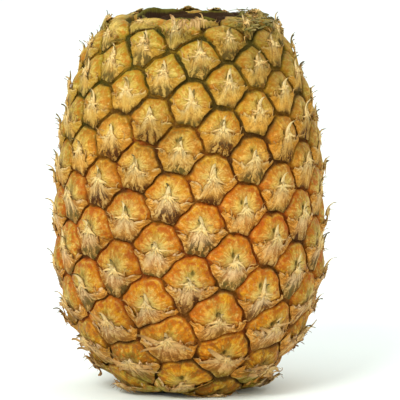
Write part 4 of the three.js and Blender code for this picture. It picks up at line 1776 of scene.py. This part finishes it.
@dataclass
class Bracts:
    """The papery bract over the lower part of each eye, as thin closed sheets."""

    lattice: Lattice
    eyes: dict[int, Eye]
    across: int = 31
    along: int = 9
    crowding: float = 1.3
    thickness: float = 0.3
    base_spread: float = 80.0
    base_out: float = 0.98
    base_sink: float = 1.4
    clearance: float = 0.08
    flutter: float = 0.15
    fold: float = 0.18
    keel: float = 0.7
    dive: float = 0.45
    tuck: float = 0.8
    ground: float = 0.15

    def build(self, finish: Material) -> Object:
        """Builds all bracts as one piece.

        Args:
            finish: Its material.

        Returns:
            The object.
        """
        builder = SurfaceBuilder()
        for eye in self.eyes.values():
            self._add_bract(builder, eye)
        thing = builder.build("bracts")
        thing.data.materials.append(finish)
        return thing

    def sheet(self, eye: Eye, u: Array, v: Array) -> tuple[Array, Array]:
        """Places on a bract.

        Args:
            eye: The eye that it belongs to.
            u: From -1 at its left side to 1 at its right.
            v: From 0 at its base, in the groove, to 1 at its free lip.

        Returns:
            Directions, and heights over the outline in millimetres.
        """
        bearing = np.radians(270.0 + self.base_spread * u)
        base_out = self.base_out - 0.07 * eye.high
        base_x, base_y = polar(base_out, bearing).T
        narrow = eye.BRACT_HALF_WIDTH * (1 - 0.25 * eye.leafy)
        x, y = between(base_x, narrow * u, v), between(base_y, eye.lip.line(u), v)
        directions, ground = eye.height_at(x, y)
        side = np.abs(u)
        floor = self.base_sink * (v**0.6 - 1.0)
        lift = np.maximum(ground, floor) + self.clearance + eye.lift * v**2.2 * (1 - 0.9 * side**1.3)
        lift = lift + self.flutter * eye.lip.rag * np.sin(6 * u + 1.7 * eye.phase) * v**3
        lift = lift + (self.fold * np.sin(24 * u + eye.phase) + self.keel * bell(u, 0.12)) * v
        hollows = np.maximum(0.0, np.sin(5 * u + 1.3 * eye.phase)) * smoothstep(side, 0.25, 0.5)
        lift = lift - (self.dive * hollows + self.tuck * smoothstep(side, 0.72, 1.0)) * v
        return directions, lift

    def _add_bract(self, builder: SurfaceBuilder, eye: Eye) -> None:
        """Adds one bract: an outer and an inner face, joined round their edge.

        Args:
            builder: The surface that it goes in.
            eye: Its eye.
        """
        spread = np.linspace(-1, 1, self.across)
        u = np.sign(spread) * np.abs(spread) ** self.crowding
        u, v = np.meshgrid(u, np.linspace(0, 1, self.along))
        u, v = u.ravel(), v.ravel()
        directions, lift = self.sheet(eye, u, v)
        skin = self.lattice.skin
        outer = skin.place(directions, lift)
        inner = skin.place(directions, lift - self.thickness)
        outer[:, 2] = np.maximum(outer[:, 2], self.ground)
        inner[:, 2] = np.maximum(inner[:, 2], self.ground + self.thickness)
        first = builder.add_vertices(np.vstack([outer, inner]))
        count = len(u)
        grid = np.arange(count).reshape(self.along, self.across)
        a, b = grid[:-1, :-1].ravel(), grid[:-1, 1:].ravel()
        c, d = grid[1:, 1:].ravel(), grid[1:, :-1].ravel()
        top = quads(a, b, c, d)
        under = top[:, ::-1] + count
        rim = np.concatenate([grid[0, :], grid[1:, -1], grid[-1, -2::-1], grid[-2:0:-1, 0]])
        after = np.roll(rim, -1)
        local = np.vstack([top, under, quads(rim, rim + count, after + count, after)])
        places = np.tile(np.stack([u, v], -1), (2, 1))
        aged = max(0.6 * eye.leafy, eye.crest * (1.0 - eye.facing) ** 0.7, 0.2 * eye.crest)
        marks = np.tile(np.array([eye.tone, aged]), (2 * count, 1))
        foot = np.tile(np.array(eye.foot), (2 * count, 1))
        builder.add_triangles(first + np.arange(2 * count), local, places, marks, foot)

    def foothold(self, eye: Eye, u: float, v: float, lift: float) -> tuple[Array, Axes]:
        """The root, in metres, and the axes of a strand that stands on a bract."""
        skin = self.lattice.skin
        directions, ground = self.sheet(eye, np.array([u]), np.array([v]))
        return skin.place(directions, ground + lift)[0] * MM, axes_at(skin, directions[0])


@dataclass
class Strands:
    """Thin things that grow from points: how their tubes are shaped, and what each is drawn from.

    The ranges are in millimetres, apart from turns; stiffness is the reach squared that lets a
    strand droop by a millimetre.
    """

    name: str
    steps: int
    sides: int
    taper: float
    tip: float
    flat: float
    reach: Range
    rise: Range
    lean: Range
    curl: Range
    turns: Range
    thick: Range
    stiffness: float = math.inf
    roots: list[Array] = field(default_factory=list)
    values: dict[str, list[Any]] = field(default_factory=dict)

    LOWEST_ROOT = 0.0006

    def add(
        self,
        draw: Draw,
        root: Array,
        axes: Axes,
        factors: dict[str, float],
        extra: dict[str, float] | None = None,
    ) -> None:
        """Draws one strand, and keeps it unless its root is at the ground.

        Args:
            draw: The random numbers.
            root: Its root, in metres.
            axes: Its side, up and out directions.
            factors: What its drawn values are multiplied by.
            extra: What is then added to them.
        """
        spans = {
            "reach": self.reach, "rise": self.rise, "lean": self.lean, "curl": self.curl,
            "turns": self.turns, "phase": (0, TURN), "thick": self.thick, "tone": (0, 1),
        }
        drawn = {key: draw.uniform(*span) * factors.get(key, 1.0) for key, span in spans.items()}
        for key, more in (extra or {}).items():
            drawn[key] += more
        drawn["rise"] -= drawn["reach"] ** 2 / self.stiffness
        for key in ("reach", "rise", "lean", "curl", "thick"):
            drawn[key] *= MM
        if root[2] >= self.LOWEST_ROOT:
            self.roots.append(root)
            for key, value in {**drawn, **dict(zip(("side", "up", "out"), axes))}.items():
                self.values.setdefault(key, []).append(value)

    def build(self, tree: Tree, finish: Material) -> Object:
        """Grows all strands as one piece.

        Args:
            tree: The tree that grows them.
            finish: Its material.

        Returns:
            The object.
        """
        rows = {key: np.array(value) for key, value in self.values.items()}
        seeds = seed_points(self.name + "_roots", np.array(self.roots), rows)
        inputs = {"Steps": self.steps, "Sides": self.sides, "Taper": self.taper, "Tip": self.tip,
                  "Flat": self.flat, "Material": finish}
        return bake_tree(self.name, seeds, tree, inputs)


def axes_at(skin: Skin, direction: Array) -> Axes:
    """Gives the right, up and outward directions on the skin at a place.

    Args:
        skin: The skin of the fruit.
        direction: The vector that stands for the place.

    Returns:
        The three unit vectors.
    """
    length = float(skin.lengths_of(direction / np.linalg.norm(direction)))
    section = skin.normals_in_section(np.array(length))
    angle = math.atan2(direction[1], direction[0])
    out = np.array([math.cos(angle) * section[0], math.sin(angle) * section[0], section[1]])
    right = np.array([-math.sin(angle), math.cos(angle), 0.0])
    return right, np.cross(out, right), out


def headed(axes: Axes, heading: float) -> Axes:
    """Turns axes about the outward one, until up points at a heading from the right."""
    side, up, out = axes
    ahead = side * math.cos(heading) + up * math.sin(heading)
    return np.cross(ahead, out), ahead, out


@dataclass
class DryGrowth:
    """What grows on the bracts and along the rim: spines, shreds, chaff, tips, teeth and fibres."""

    bracts: Bracts
    draw: Draw

    LOWEST_CHAFF = 0.005
    RIM_HEIGHT = 177.5

    def build(self, groups: SharedGroups) -> Iterator[Object]:
        """Grows each kind as one piece, in the order in which it is drawn.

        Args:
            groups: The shared effects.

        Yields:
            The pieces.
        """
        tree = strand_tree()
        for grow, name, root, shaft, tip, tip_from in (
            (self._spines, "cream_spine", "D0AC66", "DCC288", "5A4622", 0.7),
            (self._shreds, "pale_shred", "E4CA88", "DAB26A", "AA7636", 0.4),
            (self._chaff, "dry_chaff", "DCBA7C", "BE9050", "7A5828", 0.4),
            (self._dry_tips, "dry_tip", "B8934F", "7A6832", "35331C", 0.42),
            (self._rim_strips, "rim_strip", "645C22", "8E7C3A", "B29A5E", 0.45),
            (self._rim_teeth, "rim_tooth", "A8843C", "CCA66C", "86603C", 0.72),
            (self._fibres, "dry_fibre", "A4783C", "CDA25E", "4E3416", 0.5),
        ):
            finish = SpineFinish(name, srgb(root), srgb(shaft), srgb(tip), tip_from)
            yield grow().build(tree, finish.make(groups))

    def _spines(self) -> Strands:
        """Roots one flat tapering spine on the keel of each bract.

        Returns:
            The strands, not yet built.
        """
        spines = Strands(
            "spines", steps=9, sides=6, taper=1.0, tip=0.06, flat=0.45,
            reach=(0.42, 0.7), rise=(1.8, 5.4), lean=(-0.16, 0.16), curl=(0.0, 0.2),
            turns=(0.3, 0.8), thick=(1.5, 2.1),
        )
        for eye in self.bracts.eyes.values():
            root, axes = self.bracts.foothold(eye, u=0.0, v=0.78, lift=-0.5)
            half = eye.cell.span * float(eye.cell.reach(np.array([math.pi / 2]))[0])
            whole = 0.6 if self.draw.uniform(0, 1) < 0.2 else 1.0
            reach = whole * (1 - 0.3 * eye.low) * (0.35 + 0.65 * eye.stand) * half
            thick = 0.5 + 0.5 * eye.stand
            factors = {"reach": reach, "rise": eye.stand * whole, "lean": half, "thick": thick}
            spines.add(self.draw, root, axes, factors, {"rise": 0.3 * whole})
        return spines

    def _shreds(self) -> Strands:
        """Lays pale flat shreds on each bract, splayed from the foot of its spine like a star.

        Returns:
            The strands, not yet built.
        """
        shreds = Strands(
            "papery_shreds", steps=7, sides=5, taper=0.8, tip=0.12, flat=0.45,
            reach=(2.6, 6.6), rise=(-1.0, 0.4), lean=(-1.1, 1.1), curl=(0.0, 0.5),
            turns=(0.3, 1.0), thick=(0.45, 0.85),
        )
        for eye in self.bracts.eyes.values():
            count = 7 + round(8 * eye.wrap)
            fray = eye.crest * eye.facing * eye.upright
            first = 178.0 - 30.0 * eye.high - 130.0 * fray
            size = (0.4 + 0.6 * eye.stand) * (1 - 0.35 * eye.high + 0.5 * eye.wrap)
            for index in range(count):
                share = (index + self.draw.uniform(0.1, 0.9)) / count
                heading = math.radians(first + 2 * (270.0 - first) * share * (1 - 0.6 * fray))
                u = 0.14 * math.cos(heading) * self.draw.uniform(0.3, 1.0)
                root, axes = self.bracts.foothold(eye, u, self.draw.uniform(0.8, 0.94), lift=-0.05)
                reach = (1 - 0.3 * abs(math.sin(heading))) * size
                shreds.add(self.draw, root, headed(axes, heading), {"reach": reach})
        return shreds

    def _chaff(self) -> Strands:
        """Lays wide ragged strips of dry bract to both sides over the lowest eyes.

        Returns:
            The strands, not yet built.
        """
        chaff = Strands(
            "papery_chaff", steps=11, sides=8, taper=0.6, tip=0.3, flat=0.16,
            reach=(4.5, 12.0), rise=(0.0, 2.6), lean=(-1.6, 1.6), curl=(0.3, 1.3),
            turns=(0.4, 1.4), thick=(0.7, 1.7), stiffness=110.0,
        )
        for eye in self.bracts.eyes.values():
            for index in range(round(7 * eye.wrap)):
                right = index % 2
                u = (2 * right - 1) * self.draw.uniform(0.0, 0.35)
                root, axes = self.bracts.foothold(eye, u, self.draw.uniform(0.6, 0.95), lift=0.3)
                if root[2] < self.LOWEST_CHAFF:
                    continue
                tilt = math.radians(self.draw.uniform(-22.0, 38.0))
                reach = 0.4 + 0.6 * float(smoothstep(root[2] / MM, 3.0, 13.0))
                chaff.add(self.draw, root, headed(axes, tilt if right else math.pi - tilt), {"reach": reach})
        return chaff

    def _dry_tips(self) -> Strands:
        """Roots a dark dry curled tip beside each spine, except behind the rim.

        Returns:
            The strands, not yet built.
        """
        tips = Strands(
            "dry_tips", steps=11, sides=6, taper=0.7, tip=0.25, flat=0.6,
            reach=(3.2, 6.4), rise=(1.6, 4.6), lean=(-1.8, 1.8), curl=(0.4, 1.3),
            turns=(0.3, 0.9), thick=(0.65, 1.2),
        )
        for eye in self.bracts.eyes.values():
            if eye.stand >= 0.5:
                root, axes = self.bracts.foothold(eye, self.draw.uniform(-0.1, 0.1), v=0.94, lift=-0.5)
                size = self.draw.uniform(0.4, 1.0) * (1 - 0.4 * eye.low)
                tips.add(self.draw, root, axes, dict.fromkeys(("reach", "rise", "lean", "curl"), size))
        return tips

    def _along_rim(self, count: int, arc: Range, jitter: Range, spread: Range) -> Iterator[Array]:
        """Yields places along part of the rim.

        Args:
            count: How many places there are.
            arc: The angles where they start and end, in degrees.
            jitter: The range of each one's place in its share of the arc.
            spread: The range of its distance above the rim, in millimetres.

        Yields:
            Directions.
        """
        first, last = (math.radians(end) for end in arc)
        skin = self.bracts.lattice.skin
        rim = skin.length_at_height(self.RIM_HEIGHT)
        for index in range(count):
            angle = first + (last - first) * (index + self.draw.uniform(*jitter)) / count
            yield skin.directions(np.array(rim + self.draw.uniform(*spread)), np.array(angle))

    def _rim_strips(self) -> Strands:
        """Lays dry strips of the lowest leaves along one side of the rim.

        Returns:
            The strands, not yet built.
        """
        strips = Strands(
            "rim_strips", steps=14, sides=6, taper=0.5, tip=0.25, flat=0.25,
            reach=(4.5, 12.0), rise=(-1.6, 0.1), lean=(-0.9, 0.9), curl=(0.0, 0.4),
            turns=(0.4, 1.2), thick=(0.45, 1.05), stiffness=76.0,
        )
        skin = self.bracts.lattice.skin
        for direction in self._along_rim(count=64, arc=(-58.0, 40.0), jitter=(0, 1), spread=(-4.0, 6.0)):
            root = skin.place(direction, np.array(self.draw.uniform(0.0, 1.5))) * MM
            heading = math.radians(self.draw.uniform(-5.0, 13.0))
            strips.add(self.draw, root, headed(axes_at(skin, direction), heading), {})
        return strips

    def _rim_teeth(self) -> Strands:
        """Stands a row of blunt dry teeth, left by a torn bract, on the rim.

        Returns:
            The strands, not yet built.
        """
        teeth = Strands(
            "rim_teeth", steps=9, sides=7, taper=0.5, tip=0.45, flat=0.4,
            reach=(2.6, 7.0), rise=(-1.5, 1.5), lean=(-2.4, 2.4), curl=(0.0, 1.0),
            turns=(0.4, 1.0), thick=(0.4, 0.85),
        )
        skin = self.bracts.lattice.skin
        arc, jitter = (-103.0, -79.0), (0.2, 0.8)
        for direction in self._along_rim(count=13, arc=arc, jitter=jitter, spread=(-1.5, 1.5)):
            root = skin.place(direction, np.array(-0.5)) * MM
            side = axes_at(skin, direction)[0]
            up = np.array([0.0, 0.0, 1.0])
            teeth.add(self.draw, root, (side, up, np.cross(side, up)), {})
        return teeth

    def _fibres(self) -> Strands:
        """Roots a few loose curled fibres on the lip of each bract.

        Returns:
            The strands, not yet built.
        """
        fibres = Strands(
            "loose_fibres", steps=9, sides=4, taper=0.6, tip=0.3, flat=1.0,
            reach=(0.5, 4.2), rise=(0.2, 2.8), lean=(-1.8, 1.8), curl=(0.2, 1.4),
            turns=(0.4, 1.6), thick=(0.14, 0.38),
        )
        for eye in self.bracts.eyes.values():
            for _ in range(6 + round(7 * eye.low)):
                u = self.draw.uniform(-0.95, 0.95)
                root, axes = self.bracts.foothold(eye, u, v=0.93, lift=-0.2)
                fibres.add(self.draw, root, axes, {"rise": eye.stand}, {"lean": 2.2 * u})
        return fibres


@dataclass
class CrownStub:
    """The crater that the crown left: cut leaf bases wound round a pale core."""

    leaf_count: int = 15
    outer_ring: float = 24.9
    inner_ring: float = 12.0
    foot: float = 168.4
    crest: float = 181.6
    spread: float = 0.78
    thickness: float = 2.0
    core_radius: float = 11.5
    core_top: float = 173.5
    divergence: float = LatticeRule.divergence

    def build(self, leaf: Material, core: Material, draw: Draw) -> list[Object]:
        """Builds the leaf bases and the core.

        Args:
            leaf: The material of the leaf bases.
            core: The material of the core.
            draw: The random numbers.

        Returns:
            The leaf bases as one object, and the core.
        """
        count = self.leaf_count
        inward = np.linspace(0, 1, count)
        crest = self.crest - 0.8 * draw.uniform(0, 1, count) - 2.4 * smoothstep(inward, 0.1, 0.3)
        values = {
            "ring": between(self.outer_ring, self.inner_ring, inward) * MM,
            "heading": np.radians(self.divergence * np.arange(count)),
            "spread": self.spread + 0.25 * inward,
            "foot": np.full(count, self.foot * MM),
            "crest": (crest - 3.5 * inward**2) * MM,
            "thick": np.full(count, self.thickness * MM),
            "phase": draw.uniform(0, 50, count),
            "tone": draw.uniform(0, 1, count),
        }
        seeds = seed_points("leaf_base_roots", np.zeros((count, 3)), values)
        inputs = {"Across": 34, "Upward": 12, "Lean": 0.0007, "Rag": 0.0006, "Material": leaf}
        leaves = bake_tree("crown_leaf_bases", seeds, leaf_base_tree(), inputs)
        return [leaves, self._core(core)]

    def _core(self, finish: Material) -> Object:
        """The cut core in the middle of the crater, as a low turned mound.

        Args:
            finish: Its material.

        Returns:
            The object.
        """
        radius, foot, top = self.core_radius, self.foot, self.core_top
        profile = [(26.0, foot - 1), (26.0, foot + 2.2), (20.0, foot + 2.8), (radius + 1.5, foot + 3.4),
                   (radius, top - 1.6), (radius - 1.2, top - 0.5), (5.0, top)]
        return turned_piece("crown_core", profile, finish, sides=64, ripple=0.35)


TURNED_STEP = 0.8
TURNED_WAVER = ((5, 0.0, 1.0), (9, 1.0, 0.6), (17, 2.0, 0.4))


def turned_piece(name: str, profile: list[Range], finish: Material, sides: int, ripple: float) -> Object:
    """Turns an outline about the axis, closed at both ends, with a slight waver.

    Args:
        name: The object's name.
        profile: Radius and height in millimetres, from the lower end to the upper.
        finish: Its material.
        sides: How many faces it has round it.
        ripple: How far its radius wavers, in millimetres.

    Returns:
        The object.
    """
    dense = [np.array(profile[0])]
    for here, there in zip(profile, profile[1:]):
        steps = max(1, round(math.dist(here, there) / TURNED_STEP))
        for step in range(1, steps + 1):
            dense.append(np.array(here) + (np.array(there) - np.array(here)) * step / steps)
    rows = np.array(dense)
    angle = np.arange(sides) * TURN / sides
    waver = ripple * waves(angle, 1.0, *TURNED_WAVER)
    mesh = bmesh.new()
    rings = []
    for radius, height in rows:
        out = radius + waver * min(1.0, radius / 10.0)
        points = polar(out, angle, np.full(sides, height)) * MM
        rings.append([mesh.verts.new(point) for point in points])
    for lower, upper in zip(rings, rings[1:]):
        for i in range(sides):
            j = (i + 1) % sides
            mesh.faces.new((lower[i], lower[j], upper[j], upper[i]))
    foot = mesh.verts.new((0, 0, rows[0][1] * MM))
    top = mesh.verts.new((0, 0, rows[-1][1] * MM))
    for i in range(sides):
        j = (i + 1) % sides
        mesh.faces.new((foot, rings[0][j], rings[0][i]))
        mesh.faces.new((top, rings[-1][i], rings[-1][j]))
    bmesh.ops.recalc_face_normals(mesh, faces=list(mesh.faces))
    thing = placed(name + "_coarse", mesh_of(name, mesh))
    thing.data.shade_smooth()
    values = {"Lump Scale": 420.0, "Lump Height": 0.0004, "Grain Scale": 1300.0, "Grain Height": 0.0002}
    return bake_tree(name, thing, relief_tree(), {**values, "Material": finish})


@dataclass
class StalkStub:
    """The cut end of the stalk in the base."""

    radius: float = 13.5
    length: float = 11.9
    ground: float = 0.1

    def build(self, finish: Material) -> Object:
        """Builds the stub as a short turned plug."""
        profile = [(6.0, self.ground), (self.radius - 0.9, self.ground), (self.radius, self.ground + 1.0),
                   (self.radius, self.length - 3.0), (self.radius - 4.0, self.length)]
        return turned_piece("stalk_end", profile, finish, sides=56, ripple=0.15)


# ---------------------------------------------------------------- the studio


@dataclass
class Studio:
    """A pale floor, soft lights and the camera."""

    target_height: float = 0.091
    distance: float = 3.0
    elevation: float = 7.5
    view_width: float = 0.19104
    sensor: float = 36.0
    picture_side: float = 400.0
    axis_x: float = 189.5
    axis_y: float = 199.5
    floor_radius: float = 30.0
    sky_strength: float = 1.02
    lamp_size: float = 0.8
    key_place: tuple[float, float, float] = (-0.75, -1.6, 1.4)
    key_power: float = 32.0
    back_place: tuple[float, float, float] = (1.0, 1.2, 1.3)
    back_power: float = 5.5

    def build(self) -> None:
        """Builds the floor, lights and camera."""
        self._floor()
        self._lights()
        self._camera()

    def _floor(self) -> None:
        """Lays a large disc of floor."""
        mesh = bmesh.new()
        bmesh.ops.create_circle(mesh, cap_ends=True, segments=64, radius=self.floor_radius)
        floor = placed("floor", mesh_of("floor", mesh))
        floor.data.materials.append(FloorFinish().make())

    def _lights(self) -> None:
        """Sets a white sky and a large soft lamp."""
        world = bpy.data.worlds.new("soft_sky")
        world.use_nodes = True
        sky = world.node_tree.nodes["Background"]
        sky.inputs["Color"].default_value = (1.0, 1.0, 1.0, 1.0)
        sky.inputs["Strength"].default_value = self.sky_strength
        bpy.context.scene.world = world
        self._lamp("key", self.key_place, self.key_power)
        self._lamp("back", self.back_place, self.back_power)

    def _lamp(self, name: str, place: tuple[float, float, float], power: float) -> None:
        """Hangs a square lamp that faces the fruit.

        Args:
            name: Its name.
            place: Where it hangs, in metres.
            power: Its power in watts.
        """
        data = bpy.data.lights.new(name, "AREA")
        data.size = self.lamp_size
        data.energy = power
        lamp = placed(name, data)
        lamp.location = place
        aim = Vector((0, 0, self.target_height)) - Vector(place)
        lamp.rotation_euler = aim.to_track_quat("-Z", "Y").to_euler()

    def _camera(self) -> None:
        """Sets a long lens, slightly above the fruit."""
        data = bpy.data.cameras.new("camera")
        data.sensor_width = self.sensor
        data.lens = self.sensor * self.distance / self.view_width
        middle = self.picture_side / 2
        data.shift_x = (middle - self.axis_x) / self.picture_side
        data.shift_y = (self.axis_y - middle) / self.picture_side
        data.clip_end = 100.0
        camera = placed("camera", data)
        lift = math.radians(self.elevation)
        back = Vector((0.0, -math.cos(lift), math.sin(lift)))
        camera.location = Vector((0, 0, self.target_height)) + back * self.distance
        camera.rotation_euler = (-back).to_track_quat("-Z", "Y").to_euler()
        bpy.context.scene.camera = camera
        bpy.context.scene.view_settings.view_transform = "Standard"


# ---------------------------------------------------------------- making it


SOCKET_BLANK_RADIUS = 24.0
STALK_BLANK_RADIUS = 13.6


def grow_eyes(lattice: Lattice, draw: Draw) -> dict[int, Eye]:
    """Draws the eyes of all cells that are not blank, by the cell's place in the lattice.

    Args:
        lattice: The lattice.
        draw: The random numbers.

    Returns:
        The eyes by the places of their cells.
    """
    eyes: dict[int, Eye] = {}
    middle = 0.5 * float(lattice.skin.height[-1])
    for index, cell in enumerate(lattice.cells):
        blank = SOCKET_BLANK_RADIUS if cell.height > middle else STALK_BLANK_RADIUS
        if cell.number is not None and cell.radius >= blank:
            eyes[index] = Eye(cell, EyeForm(), draw)
    return eyes


def attach(piece: Object, node: str) -> None:
    """Hands a finished piece to the frame and reports it.

    Args:
        piece: The piece.
        node: The node of the model that it replaces.
    """
    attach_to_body(piece, BODY)
    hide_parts(node)
    log.info("%s: %d faces", piece.name, len(piece.data.polygons))


def main() -> None:
    """Builds the studio and the pineapple."""
    Studio().build()
    groups = SharedGroups()
    draw = np.random.default_rng(SEED)
    rule = LatticeRule()
    lattice = Lattice(Skin(Outline(), rule), rule)
    eyes = grow_eyes(lattice, draw)
    log.info("%d cells, %d eyes", len(lattice.cells), len(eyes))

    attach(Rind(lattice, eyes).build(RindFinish().make(groups)), "fruit")
    bracts = Bracts(lattice, eyes)
    attach(bracts.build(BractFinish().make(groups)), "fruit")
    for piece in DryGrowth(bracts, draw).build(groups):
        attach(piece, "fruit")

    core_finish = CutFleshFinish("crown_core_cut", srgb("A88F57"), srgb("4A3719"), srgb("2E2A10"), 0.0125)
    for piece in CrownStub().build(LeafFinish().make(groups), core_finish.make(groups), draw):
        attach(piece, "crown_stub")
    stalk_finish = CutFleshFinish("stalk_cut", srgb("C7AE7B"), srgb("8A6A3C"), srgb("5E4523"), 0.0135)
    attach(StalkStub().build(stalk_finish.make(groups)), "stalk_stub")


if __name__ == "__main__":
    main()
